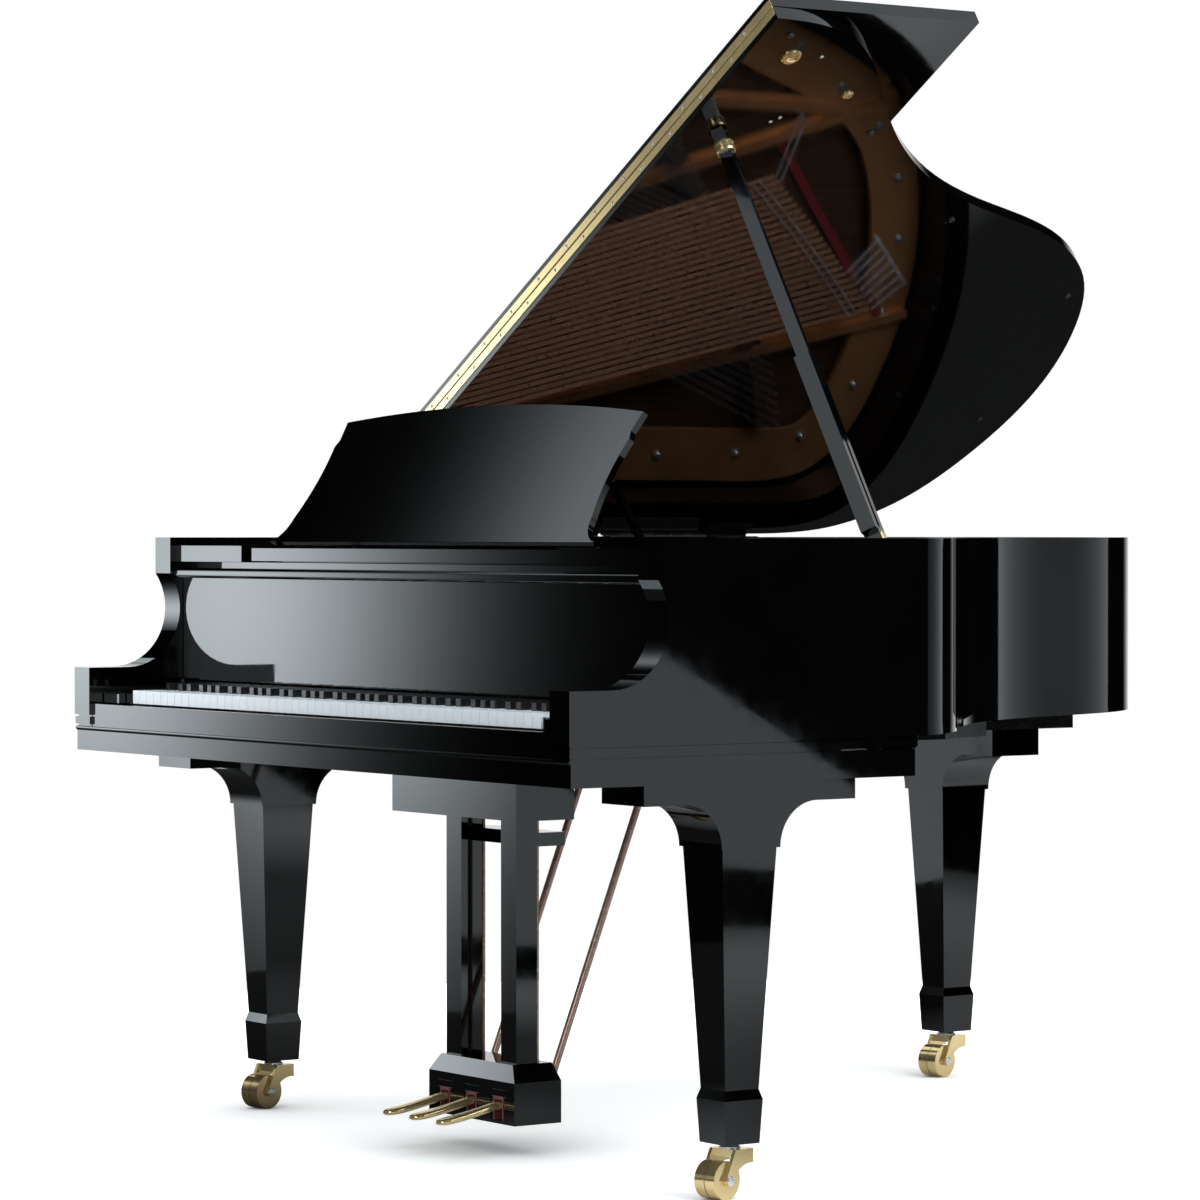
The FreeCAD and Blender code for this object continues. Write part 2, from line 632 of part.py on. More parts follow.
def add_tuning_pins():
    top = n.plate_top + n.seat_gap
    pins = []
    for note, centre in enumerate(bass_notes + treble_notes):
        for side, row in ((-n.bass_string_spread, note % 2), (n.bass_string_spread, 2 + note % 2)):
            place = Vector(centre + side, front_y + n.pin_field_front + row * n.pin_row_pitch, top)
            pins.append(Part.makeCylinder(n.pin_radius, n.pin_height, place))
    return node(feature("tuning_pins", Part.makeCompound(pins)))


def add_dampers():
    """A felt head over each damped note, its wire down between the strings, and the lifting rail."""
    damped = [(x, i, bass_notes, BASS_BRIDGE_SHARES, n.bass_string_height, n.bass_string_radius)
              for i, x in enumerate(bass_notes)]
    first = 0
    for count, damped_count in zip(TREBLE_NOTES, DAMPED_TREBLE_NOTES):
        for i in range(first, first + damped_count):
            damped.append((treble_notes[i], i, treble_notes, TREBLE_BRIDGE_SHARES,
                           n.treble_string_height, n.treble_string_radius))
        first += count
    rail_top = n.damper_rail_low + n.damper_rail_height
    middle = front_y + n.damper_front + n.damper_length / 2
    heads = []
    for x, note, notes, shares, height, radius in damped:
        start, end = string_run(x, note, len(notes), shares, height)
        reached = (middle - start.y) / (end.y - start.y)
        centre = start.x + (end.x - start.x) * reached
        low = height + radius + n.run_gap
        head = block(
            (centre - n.damper_width / 2, front_y + n.damper_front, low),
            (centre + n.damper_width / 2, front_y + n.damper_front + n.damper_length, low + n.damper_height))
        wire_x = centre + n.damper_width / 2
        heads.append(head.fuse(Part.makeCylinder(
            n.wire_radius, low - rail_top + n.run_gap, Vector(wire_x, middle, rail_top - n.run_gap))))
    reach = float(keyboard_half) - n.frame_inset
    rail = block(
        (-reach, middle - n.damper_rail_depth / 2, n.damper_rail_low),
        (reach, middle + n.damper_rail_depth / 2, rail_top))
    return node(feature("dampers", rail.fuse(heads).removeSplitter()))


# Keyboard and action.
def key_slots():
    """Each of the keys: its note, the left edge of its octave, and its place in that octave."""
    pitch = n.keyboard_width / WHITE_KEYS
    octave = pitch * 7
    first_octave = -n.keyboard_width / 2 - pitch * 5
    slots = []
    for number in range(LOW_NOTES_LEFT_OUT, LOW_NOTES_LEFT_OUT + KEY_COUNT):
        slots.append((number % 12, first_octave + octave * (number // 12)))
    return slots


def tail_edges(note, octave_left):
    """The two sides of a key's narrow tail: five share three heads, then seven share four."""
    pitch = n.keyboard_width / WHITE_KEYS
    if note < 5:
        step = pitch * 3 / 5
        left = octave_left + note * step
    else:
        step = pitch * 4 / 7
        left = octave_left + pitch * 3 + (note - 5) * step
    return left, left + step


def white_place(note):
    return {0: 0, 2: 1, 4: 2, 5: 3, 7: 4, 9: 5, 11: 6}.get(note)


def key_shape(note, octave_left):
    start = front_y + n.key_front
    back = start + n.key_length
    head_back = start + n.white_head_length
    gap = n.key_gap / 2
    low = n.key_bottom
    left, right = tail_edges(note, octave_left)
    tail = block((left + gap, head_back, low), (right - gap, back, n.key_top))
    place = white_place(note)
    if place is None:
        cap = block(
            (left + gap, head_back + n.sharp_setback, n.key_top),
            (right - gap, head_back + n.sharp_length, n.key_top + n.sharp_height))
        stick = block((left + gap, head_back + n.sharp_setback, low), (right - gap, back, n.key_top))
        return [cap, stick]
    pitch = n.keyboard_width / WHITE_KEYS
    head_left = octave_left + place * pitch
    head = block((head_left + gap, start, low), (head_left + pitch - gap, head_back, n.key_top))
    return [head, tail]


def add_keys():
    """The keys of each note name are one group of separate keys."""
    slots = key_slots()
    for note, name in enumerate(NOTE_NAMES):
        blocks = []
        for slot, left in slots:
            if slot == note:
                blocks.extend(key_shape(note, left))
        node(feature(f"keys_{name}", Part.makeCompound(blocks)))


def add_key_frame():
    reach = keyboard_half - s.frame_inset
    low = s.arm_bottom + s.run_gap
    rail_top = s.key_bottom - s.run_gap
    start = front + s.key_front + s.frame_inset
    balance = front + s.balance_line - s.rail_depth / 2
    ridge = front + s.balance_line - s.balance_ridge / 2
    back = front + s.key_front + s.key_length
    rails = [
        board("front_rail", (-reach, start, low),
              (reach, start + s.rail_depth, s.key_bottom - s.front_rail_drop)),
        board("balance_rail", (-reach, balance, low),
              (reach, balance + s.rail_depth, rail_top - s.balance_drop)),
        board("balance_ridge", (-reach, ridge, low), (reach, ridge + s.balance_ridge, rail_top)),
        board("back_rail", (-reach, back - s.rail_depth, low), (reach, back, rail_top)),
    ]
    for number, share in enumerate((-1, 0, 1)):
        centre = share * (reach - s.stringer_width / 2)
        rails.append(board(
            f"stringer_{number}", (centre - s.stringer_width / 2, start, low),
            (centre + s.stringer_width / 2, back, low + s.stringer_height)))
    return node(fused("key_frame", rails))


def add_hammer_action():
    """Two end posts, the hammer rail between them, and a hammer on its shank for each key."""
    inside = float(keyboard_half) + n.action_post_gap
    outside = inside + n.action_post_width
    start = front_y + n.action_front
    back = start + n.action_post_depth
    low = n.arm_bottom + n.run_gap
    rail_low = n.action_rail_low
    rail_top = rail_low + n.action_rail_height
    rail_front = back - n.rail_depth
    posts = [block((x, start, low), (x + n.action_post_width, back, rail_top)) for x in (inside, -outside)]
    rail = block((-inside, rail_front, rail_low), (inside, back, rail_top))
    middle = (rail_low + rail_top) / 2
    pieces = posts + [rail]
    for x in hammer_places():
        shank = block(
            (x - n.shank_width / 2, back, middle - n.shank_width / 2),
            (x + n.shank_width / 2, front_y + n.hammer_front, middle + n.shank_width / 2))
        head = block(
            (x - n.hammer_width / 2, front_y + n.hammer_front, middle - n.shank_width / 2),
            (x + n.hammer_width / 2, front_y + n.hammer_front + n.hammer_length, middle + n.hammer_height))
        pieces.extend((shank, head))
    return node(feature("hammer_action", Part.makeCompound(pieces)))


def hammer_places():
    return bass_notes + treble_notes


def add_keybed():
    reach = half - s.keybed_inset
    start = front + s.keybed_front
    return node(plate(
        "keybed", "XY_Plane", rectangle(-reach, reach, start, start + s.keybed_depth), s.keybed_thickness,
        s.keybed_bottom))


def add_key_slip():
    reach = inner_half - s.run_gap
    start = front + s.slip_front
    return node(plate(
        "key_slip", "XY_Plane", rectangle(-reach, reach, start, start + s.slip_thickness), s.slip_height,
        s.arm_bottom))


def add_key_blocks():
    inside = keyboard_half + s.block_side_gap
    outside = inner_half - s.run_gap
    start = front + s.key_front
    top = s.arm_bottom + s.block_height
    blocks = [
        board("treble_block", (inside, start, s.arm_bottom), (outside, start + s.block_length, top)),
        board("bass_block", (-outside, start, s.arm_bottom), (-inside, start + s.block_length, top)),
    ]
    return node(group("key_blocks", blocks))


def add_fallboard():
    """The folding key cover, seen open, with its lip along the upper edge and a pin at each end."""
    face_y = front + s.fallboard_front
    back_y = face_y + s.fallboard_thickness
    top = s.fallboard_bottom + s.fallboard_height
    lip_y = face_y - s.lip_depth
    outline = [
        (face_y, s.fallboard_bottom), (back_y, s.fallboard_bottom), (back_y, top), (lip_y + s.lip_round, top),
        (lip_y, top - s.lip_round, s.lip_round), (lip_y, top - s.lip_height + s.lip_round),
        (lip_y + s.lip_round, top - s.lip_height, s.lip_round), (face_y, top - s.lip_height),
    ]
    reach = inner_half - s.fallboard_side_gap
    panel = plate("fallboard_panel", "YZ_Plane", outline, 2 * reach, -reach)
    pin_reach = inner_half - s.run_gap
    pin = rod("fallboard_pins", s.fall_pin_radius, 2 * pin_reach, -pin_reach, front + s.fall_pivot_y,
              s.fall_pivot_height, ALONG_X)
    return node(fused("fallboard", [panel, pin]))


def add_music_shelf():
    """The sliding shelf: a board with a deeper front, between two fixed rails with ledges under it."""
    reach = s.shelf_width / 2
    start = front + s.shelf_front
    shelf = fused("music_shelf", [
        board("shelf_board", (-reach, start, s.shelf_top - s.shelf_board),
              (reach, start + s.shelf_depth, s.shelf_top)),
        board("shelf_fascia", (-reach, start, s.shelf_bottom), (reach, start + s.fascia_depth, s.shelf_top)),
    ])
    node(shelf)
    inside = reach + s.shelf_rail_gap
    outside = inner_half - s.seat_gap
    rail_y = front + s.shelf_rail_front
    low = s.shelf_rail_bottom
    rails = []
    for name, side in (("treble", 1), ("bass", -1)):
        edges = sorted((side * inside, side * outside), key=float)
        ledge = sorted((side * inside, side * (inside - s.ledge_width)), key=float)
        rails.append(fused(f"{name}_shelf_rail", [
            board(f"{name}_rail", (edges[0], rail_y, low),
                  (edges[1], rail_y + s.shelf_rail_length, low + s.shelf_rail_height)),
            board(f"{name}_ledge", (ledge[0], rail_y + s.ledge_front, low),
                  (ledge[1], rail_y + s.shelf_rail_length, low + s.ledge_height)),
        ]))
    return node(group("shelf_rails", rails))


def add_music_desk():
    """The desk leans back about its hinge; two struts of the hinge-to-pivot length hold it up."""
    back = s.strut_thickness / 2 + s.run_gap
    top = s.desk_top
    crown_rise = s.desk_crown - s.desk_top
    step = s.desk_step_half
    crown_radius = (s.desk_top_half * s.desk_top_half + crown_rise * crown_rise) / (2 * crown_rise)
    outline = [
        (-s.desk_foot_half, s.desk_start), (s.desk_foot_half, s.desk_start),
        (s.desk_waist_half, s.desk_waist, -s.desk_round),
        (s.desk_top_half, s.desk_step_low, -s.desk_side_round),
        (step, s.desk_step_high), (s.desk_top_half, top), (-s.desk_top_half, top, crown_radius),
        (-step, s.desk_step_high), (-s.desk_top_half, s.desk_step_low),
        (-s.desk_waist_half, s.desk_waist, -s.desk_side_round),
    ]
    outline[0] = (-s.desk_foot_half, s.desk_start, -s.desk_round)
    desk = plate("music_desk", "XZ_Plane", outline, s.desk_thickness, back)
    lean = Rotation(Vector(1, 0, 0), -n.desk_lean)
    hinge_y = front + s.desk_hinge_y
    hinge_z = s.shelf_top + s.strut_thickness / 2 + s.run_gap
    desk.Placement = Placement(Vector(0, 0, 0), lean)
    node(move(desk, 0, hinge_y, hinge_z))
    end_round = s.strut_thickness / 2
    reach = s.strut_reach
    slot = [
        (-end_round, -reach), (end_round, -reach, s.strut_end_radius), (end_round, 0),
        (-end_round, 0, s.strut_end_radius),
    ]
    struts = []
    lean_angle = math.radians(n.desk_lean)
    for name, side in (("treble", 1), ("bass", -1)):
        strut = plate(
            f"{name}_strut", "YZ_Plane", slot, s.strut_width, side * s.strut_place - s.strut_width / 2)
        strut.Placement = Placement(Vector(0, 0, 0), Rotation(Vector(1, 0, 0), n.desk_lean))
        pivot_y = hinge_y + reach * math.sin(lean_angle)
        pivot_z = hinge_z + reach * math.cos(lean_angle)
        struts.append(move(strut, 0, pivot_y, pivot_z))
    return node(group("desk_struts", struts))


def add_leg(label, x, y, top, turn):
    """A square tapered leg with a collared foot and a bracket that flares along one direction."""
    body = doc.addObject("PartDesign::Body", label)
    sections = ((s.leg_neck, s.neck_half), (s.ankle, s.ankle_half), (s.foot_top, s.foot_top_half),
                (s.foot_bottom, s.foot_bottom_half))
    squares = [
        sketch_on(
            body, "XY_Plane", rectangle(-width, width, -width, width), f"{label}_square_{number}", height)
        for number, (height, width) in enumerate(sections)]
    shaft = body.newObject("PartDesign::AdditiveLoft", f"{label}_shaft")
    shaft.Profile = squares[0]
    shaft.Sections = squares[1:]
    shaft.Ruled = True
    doc.recompute()
    edge = s.bracket_half
    flare = edge + s.bracket_round
    shoulder = s.leg_neck + s.bracket_round
    outline = [
        (-edge, s.leg_neck), (edge, s.leg_neck), (flare, shoulder, -s.bracket_round),
        (s.bracket_reach, shoulder),
        (s.bracket_reach, top), (-s.bracket_reach, top), (-s.bracket_reach, shoulder), (-flare, shoulder),
    ]
    outline[0] = (-edge, s.leg_neck, -s.bracket_round)
    pad(body, "YZ_Plane", outline, 2 * edge, f"{label}_bracket", -edge)
    body.Placement = Placement(Vector(0, 0, 0), Rotation(Vector(0, 0, 1), turn))
    return node(move(body, x, front + y, 0))


def add_caster(label, x, y):
    """A fork with its stem and axle, trailing behind the leg, and two wheels on the axle."""
    trail = s.caster_trail
    wheel_side = s.wheel_gap / 2 + s.wheel_width
    cheek_side = wheel_side + s.cheek_gap
    outer = cheek_side + s.cheek_plate
    plate_top_z = s.fork_plate_low + s.fork_plate
    cheek = [
        (-s.fork_back, s.cheek_low), (trail - s.cheek_foot_half, s.wheel_radius, -s.cheek_hollow),
        (trail + s.cheek_foot_half, s.wheel_radius, s.cheek_foot_radius),
        (s.fork_front, plate_top_z), (-s.fork_back, plate_top_z),
    ]
    fork = fused(f"{label}_fork", [
        plate(f"{label}_near_cheek", "XZ_Plane", cheek, s.cheek_plate, cheek_side),
        plate(f"{label}_far_cheek", "XZ_Plane", cheek, s.cheek_plate, -outer),
        board(f"{label}_bridge", (-s.fork_back, -outer, s.fork_plate_low),
              (s.fork_front, outer, plate_top_z)),
        rod(f"{label}_stem", s.stem_radius, s.foot_bottom - s.run_gap - plate_top_z, 0, 0, plate_top_z),
        rod(f"{label}_axle", s.axle_radius, 2 * outer, trail, -outer, s.wheel_radius, ALONG_Y),
    ])
    wheels = []
    for name, start in (("near", s.wheel_gap / 2), ("far", -wheel_side)):
        tyre = rod(
            f"{label}_{name}_disc", s.wheel_radius, s.wheel_width, trail, start, s.wheel_radius, ALONG_Y)
        bore = rod(
            f"{label}_{name}_bore", s.axle_radius + s.axle_gap, s.wheel_width, trail, start, s.wheel_radius,
            ALONG_Y)
        wheels.append(cut(f"{label}_{name}_wheel", tyre, [bore]))
    pair = group(f"{label}_wheels", wheels)
    heading = Rotation(Vector(0, 0, 1), n.caster_heading)
    for piece in (fork, pair):
        piece.Placement = Placement(Vector(0, 0, 0), heading)
        node(move(piece, x, front + y, 0))


PEDALS = (("soft", -1), ("sostenuto", 0), ("damper", 1))


def add_lyre():
    """Top block, posts with the rod guide, the pedal box, its braces, three pedals and their rods."""
    start = front + s.lyre_front
    back = start + s.lyre_depth
    rod_y = front + s.rod_y
    bore = s.rod_radius + s.rod_gap
    places = [(name, side * s.pedal_pitch) for name, side in PEDALS]
    block_top = s.keybed_bottom - s.lyre_plate_height
    top = fused("lyre_top_blank", [
        board("lyre_plate", (-s.lyre_plate_left, start, block_top),
              (s.lyre_plate_right, back, s.keybed_bottom)),
        board("lyre_block", (-s.lyre_left, start, s.lyre_block_low), (s.lyre_half, back, block_top)),
    ])
    sockets = [
        rod(f"{name}_socket", bore, s.rod_socket_top - s.lyre_block_low, x, rod_y, s.lyre_block_low)
        for name, x in places]
    node(cut("lyre_top_block", top, sockets))

    box_top = s.box_bottom + s.box_height
    post_low = box_top + s.cove_height
    post_back = start + s.post_y_depth
    posts = [
        board(f"{name}_post", (low, start, post_low), (low + s.post_x_width, post_back, s.lyre_block_low))
        for name, low in (("bass", -s.lyre_half), ("treble", s.lyre_half - s.post_x_width))]
    guide = board("guide_blank", (-s.lyre_half, post_back, s.guide_low),
                  (s.lyre_half, post_back + s.guide_depth, s.guide_low + s.guide_height))
    guide_bores = [
        rod(f"{name}_guide_bore", bore, s.guide_height, x, rod_y, s.guide_low) for name, x in places]
    node(group("lyre_posts", posts + [cut("rod_guide", guide, guide_bores)]))
    add_pedal_box(places, rod_y, bore, box_top)
    add_braces(box_top)
    for name, x in places:
        add_pedal(name, x)
        tail_top = s.pedal_pivot_height + s.pedal_thickness / 2
        low = tail_top + s.rod_lift_gap
        node(rod(f"{name}_pedal_rod", s.rod_radius, s.rod_top - low, x, rod_y, low))


def add_pedal_box(places, rod_y, bore, box_top):
    start = front + s.box_front
    back = start + s.box_depth
    body = board("box_body", (-s.box_half, start, s.box_bottom), (s.box_half, back, box_top))
    slots = [
        board(f"{name}_slot", (x - s.slot_width / 2, start - s.overrun, s.slot_low),
              (x + s.slot_width / 2, start + s.slot_depth, s.slot_low + s.slot_height))
        for name, x in places]
    cove = doc.addObject("PartDesign::Body", "box_cove")
    inset = s.cove_inset
    lower = sketch_on(cove, "XY_Plane", rectangle(-s.box_half, s.box_half, start, back), "cove_low", box_top)
    upper = sketch_on(
        cove, "XY_Plane",
        rectangle(-s.box_half + inset, s.box_half - inset, start + inset / 2, back - inset / 4), "cove_high",
        box_top + s.cove_height)
    rise = cove.newObject("PartDesign::AdditiveLoft", "cove_loft")
    rise.Profile = lower
    rise.Sections = [upper]
    wells = [
        rod(f"{name}_well", bore, s.box_height + s.cove_height, x, rod_y, s.slot_low + s.slot_height / 2)
        for name, x in places]
    shell = cut("box_shell", fused("box_blank", [body, cove]), slots + wells)
    pin = rod("pedal_pin", s.pedal_pin_radius, 2 * s.box_half, -s.box_half, front + s.pedal_pivot_y,
              s.pedal_pivot_height, ALONG_X)
    return node(fused("pedal_box", [shell, pin]))


def add_braces(box_top):
    """Two rods from the back of the pedal box up to the keybed, cut flush with both."""
    back = float(front + s.box_front + s.box_depth) + n.seat_gap
    top = n.keybed_bottom - n.seat_gap
    head = Vector(0, front_y + n.brace_head_y, top)
    foot = Vector(0, back, n.brace_foot_height)
    way = head - foot
    stretch = Vector(way).normalize() * n.overrun * 2
    rods = []
    for x in (-n.brace_x, n.brace_x):
        shift = Vector(x, 0, 0)
        bar_shape = Part.makeCylinder(n.brace_radius, (way + stretch * 2).Length, foot + shift - stretch, way)
        rods.append(bar_shape.common(block((-n.case_width, back, 0), (n.case_width, n.case_length, top))))
    return node(feature("lyre_braces", Part.makeCompound(rods)))


def add_pedal(name, x):
    """A brass pedal on its cross pin: a straight tail in the box and a tip that dips to the front."""
    low = s.pedal_pivot_height - s.pedal_thickness / 2
    high = s.pedal_pivot_height + s.pedal_thickness / 2
    tail = front + s.pedal_tail
    bend = front + s.pedal_bend
    tip = front + s.pedal_tip
    tip_high = s.pedal_tip_low + s.pedal_thickness
    outline = [
        (tip, s.pedal_tip_low), (bend, low), (tail, low), (tail, high), (bend, high),
        (tip, tip_high), (tip, s.pedal_tip_low, s.pedal_tip_radius),
    ]
    del outline[0]
    blank = plate(f"{name}_blank", "YZ_Plane", outline, s.pedal_width, x - s.pedal_width / 2)
    hole = rod(f"{name}_hole", s.pedal_pin_radius + s.pin_clearance, s.pedal_width, x - s.pedal_width / 2,
               front + s.pedal_pivot_y, s.pedal_pivot_height, ALONG_X)
    return node(cut(f"{name}_pedal", blank, [hole]))


# Lid, flap and their hinges are drawn closed, then turned open about the bass-side hinge.
hinge_x = -half_x - n.lid_overhang - n.side_hinge_outset
hinge_z = n.rim_top + n.lid_gap / 2
opened = Placement(Vector(0, 0, 0), Rotation(Vector(0, -1, 0), n.lid_angle), Vector(hinge_x, 0, hinge_z))
lid_low = n.lid_bottom
lid_high = lid_low + n.lid_thickness
fold_y = front_y + n.lid_front - n.flap_gap / 2
fold_z = lid_high + n.fold_rise
folded = Placement(Vector(0, 0, 0), Rotation(Vector(1, 0, 0), -n.fold_angle), Vector(0, fold_y, fold_z))


def lid_piece(label, shape, placement):
    piece = feature(label, shape)
    piece.Placement = placement
    return node(piece)


def add_lid():
    lid_half = half_x + n.lid_overhang
    edge_y = front_y + n.lid_front
    outline = slab(rim_face(n.lid_overhang), lid_low, lid_high)
    lid_piece("lid_main", behind(outline, edge_y), opened)
    flap_back = edge_y - n.flap_gap
    flap = block((-lid_half, flap_back - n.flap_depth, lid_low), (lid_half, flap_back, lid_high))
    lid_piece("lid_flap", flap, opened * folded)
    # Each leaf of the long hinge lies on one of the two facing edges.
    leaf_low = lid_high - n.leaf_width
    leaf_high = lid_high - n.leaf_margin
    reach = lid_half - n.leaf_margin
    knuckle = Part.makeCylinder(
        n.knuckle_radius, 2 * reach, Vector(-reach, fold_y, fold_z), Vector(1, 0, 0))
    lid_leaf = block((-reach, edge_y - n.leaf_thickness, leaf_low), (reach, edge_y, fold_z))
    lid_piece("flap_hinge_lid_leaf", lid_leaf.fuse(knuckle).removeSplitter(), opened)
    flap_leaf = block((-reach, flap_back, leaf_low), (reach, flap_back + n.leaf_thickness, leaf_high))
    lid_piece("flap_hinge_flap_leaf", flap_leaf, opened * folded)


def add_side_hinges():
    """Three butt hinges on the bass side: case leaves with outer knuckles and pins, lid leaves between."""
    axis = Vector(0, 1, 0)
    case_leaves = []
    lid_leaves = []
    third = n.side_hinge_length / 3
    leaf_x = hinge_x + n.side_leaf_width
    for share in SIDE_HINGE_SHARES:
        start = front_y + share * n.case_length
        top = n.rim_top + n.side_leaf
        case_leaf = block((hinge_x, start, n.rim_top), (leaf_x, start + n.side_hinge_length, top))
        knuckles = [
            Part.makeCylinder(n.barrel_radius, third - n.knuckle_gap, Vector(hinge_x, y, hinge_z), axis)
            for y in (start, start + 2 * third + n.knuckle_gap)]
        room = Part.makeCylinder(
            n.barrel_radius + n.knuckle_gap, third, Vector(hinge_x, start + third, hinge_z), axis)
        pin = Part.makeCylinder(
            n.hinge_pin_radius, n.side_hinge_length, Vector(hinge_x, start, hinge_z), axis)
        case_leaves.append(case_leaf.cut(room).fuse(knuckles + [pin]).removeSplitter())
        lid_leaf = block(
            (hinge_x, start, lid_low - n.side_leaf), (leaf_x, start + n.side_hinge_length, lid_low))
        for y in (start - n.knuckle_gap, start + 2 * third):
            lid_leaf = lid_leaf.cut(Part.makeCylinder(
                n.barrel_radius + n.knuckle_gap, third + n.knuckle_gap, Vector(hinge_x, y, hinge_z), axis))
        barrel = Part.makeCylinder(n.barrel_radius, third, Vector(hinge_x, start + third, hinge_z), axis)
        bore = Part.makeCylinder(
            n.hinge_pin_radius + n.hinge_pin_gap, n.side_hinge_length, Vector(hinge_x, start, hinge_z), axis)
        lid_leaves.append(lid_leaf.fuse(barrel).cut(bore).removeSplitter())
    node(feature("lid_hinge_case_leaves", Part.makeCompound(case_leaves)))
    lid_piece("lid_hinge_lid_leaves", Part.makeCompound(lid_leaves), opened)


# The prop stands square under the open lid and folds down along the bent side.
PROP_FOLD_SHARES = (-0.65, 0.76)


def prop_frame():
    """The prop's own frame at its pivot: x along the fold axis, z up the stick."""
    angle = math.radians(n.lid_angle)
    up = Vector(-math.sin(angle), 0, math.cos(angle))
    down = Vector(*PROP_FOLD_SHARES, 0)
    axis = up.cross(down).normalize()
    across = up.cross(axis)
    pivot = Vector(n.prop_x, front_y + n.prop_y, n.prop_pivot_height)
    lid_point = Vector(hinge_x, 0, hinge_z)
    length = (lid_point - pivot).dot(up) + n.lid_gap / 2 - n.run_gap
    return Placement(pivot, Rotation(axis, across, up, "ZXY")), length


def add_prop():
    place, length = prop_frame()
    wide = n.prop_width / 2
    slim = n.prop_head_width / 2
    deep = n.prop_thickness / 2
    heel = n.prop_heel_width / 2
    stick = block((-deep, -wide, n.prop_shoulder), (deep, wide, n.prop_wide_length)).fuse([
        block((-deep, -heel, -n.prop_heel), (deep, heel, n.prop_slot_low)),
        block((-slim, -slim, n.prop_wide_length), (slim, slim, length)),
    ])
    slot = n.prop_slot_width / 2
    stick = stick.cut(block((-wide, -slot, n.prop_slot_low), (wide, slot, n.prop_slot_high)))
    bore = Part.makeCylinder(
        n.prop_pin_radius + n.pin_clearance, n.prop_thickness, Vector(-deep, 0, 0), Vector(1, 0, 0))
    pin = Part.makeCylinder(
        n.short_pin_radius, n.prop_slot_width, Vector(0, -slot, n.short_pin_height), Vector(0, 1, 0))
    prop = feature("prop_stick", stick.cut(bore).fuse(pin).removeSplitter())
    prop.Placement = place
    node(prop)
    side = slot - n.run_gap
    thick = n.short_prop_thickness / 2
    short = block(
        (-thick, -side, n.short_pin_height - thick), (thick, side, n.prop_slot_high - 2 * n.short_pin_radius))
    short_bore = Part.makeCylinder(
        n.short_pin_radius + n.pin_clearance, n.prop_slot_width, Vector(0, -slot, n.short_pin_height),
        Vector(0, 1, 0))
    short_prop = feature("short_prop", short.cut(short_bore))
    short_prop.Placement = place
    node(short_prop)
    # Two ears hold the prop's pin; a back plate screws them to the rim.
    ear_in = deep + n.ear_gap
    ear_out = ear_in + n.ear_thickness
    ears = [
        block((x, -n.bracket_width / 2, -n.ear_length),
              (x + n.ear_thickness, n.bracket_width / 2, n.ear_thickness * 2))
        for x in (ear_in, -ear_out)]
    base = block(
        (-ear_out, -n.bracket_width / 2, -n.ear_length - n.ear_thickness),
        (ear_out, n.bracket_width / 2, -n.ear_length))
    long_pin = Part.makeCylinder(n.prop_pin_radius, 2 * ear_out, Vector(-ear_out, 0, 0), Vector(1, 0, 0))
    clevis = base.fuse(ears + [long_pin])
    clevis.Placement = place
    back_x = float(inner_half) - n.run_gap
    mid_y = front_y + n.prop_y
    back_top = n.prop_pivot_height - n.ear_length + n.bracket_rise
    back = block(
        (back_x - n.bracket_back, mid_y - n.bracket_length / 2, back_top - n.bracket_height),
        (back_x, mid_y + n.bracket_length / 2, back_top))
    room = slab(rim_face(-n.rim_thickness - n.run_gap), 0, 2 * n.case_length)
    node(feature("prop_bracket", clevis.fuse(back).common(room).removeSplitter()))


def build():
    add_outer_rim()
    add_inner_rim()
    add_back_posts()
    add_soundboard()
    add_pin_block()
    add_iron_plate()
    strings("bass_strings", bass_notes, BASS_BRIDGE_SHARES, n.bass_string_height, n.bass_string_radius,
            n.bass_string_spread)
    strings("treble_strings", treble_notes, TREBLE_BRIDGE_SHARES, n.treble_string_height,
            n.treble_string_radius, n.treble_string_spread)
    add_tuning_pins()
    add_dampers()
    add_keybed()
    add_key_slip()
    add_key_blocks()
    add_key_frame()
    add_hammer_action()
    add_keys()
    add_fallboard()
    add_music_shelf()
    add_music_desk()
    add_leg("left_leg", -s.leg_x, s.leg_y, s.keybed_bottom, 0)
    add_leg("right_leg", s.leg_x, s.leg_y, s.keybed_bottom, 0)
    add_leg("rear_leg", s.rear_leg_x, s.rear_leg_y, s.frame_bottom, 90)
    add_caster("left_caster", -s.leg_x, s.leg_y)
    add_caster("right_caster", s.leg_x, s.leg_y)
    add_caster("rear_caster", s.rear_leg_x, s.rear_leg_y)
    add_lyre()
    add_lid()
    add_side_hinges()
    add_prop()


def check_and_write():
    doc.recompute()
    for item in doc.Objects:
        if "Invalid" in item.State or "Error" in item.State:
            raise RuntimeError(f"{item.Label} failed: {item.State}")
    os.makedirs("parts", exist_ok=True)
    for piece in nodes:
        if piece.Shape.isNull() or not piece.Shape.isValid() or not piece.Shape.Solids:
            raise RuntimeError(f"{piece.Label} has no valid solid")
    for piece in nodes:
        shape = piece.Shape.translated(Vector(n.origin_shift, 0, 0))
        shape.exportStep(f"parts/{piece.Label}.step")
    print(f"{len(nodes)} sub-parts written")


build()
check_and_write()
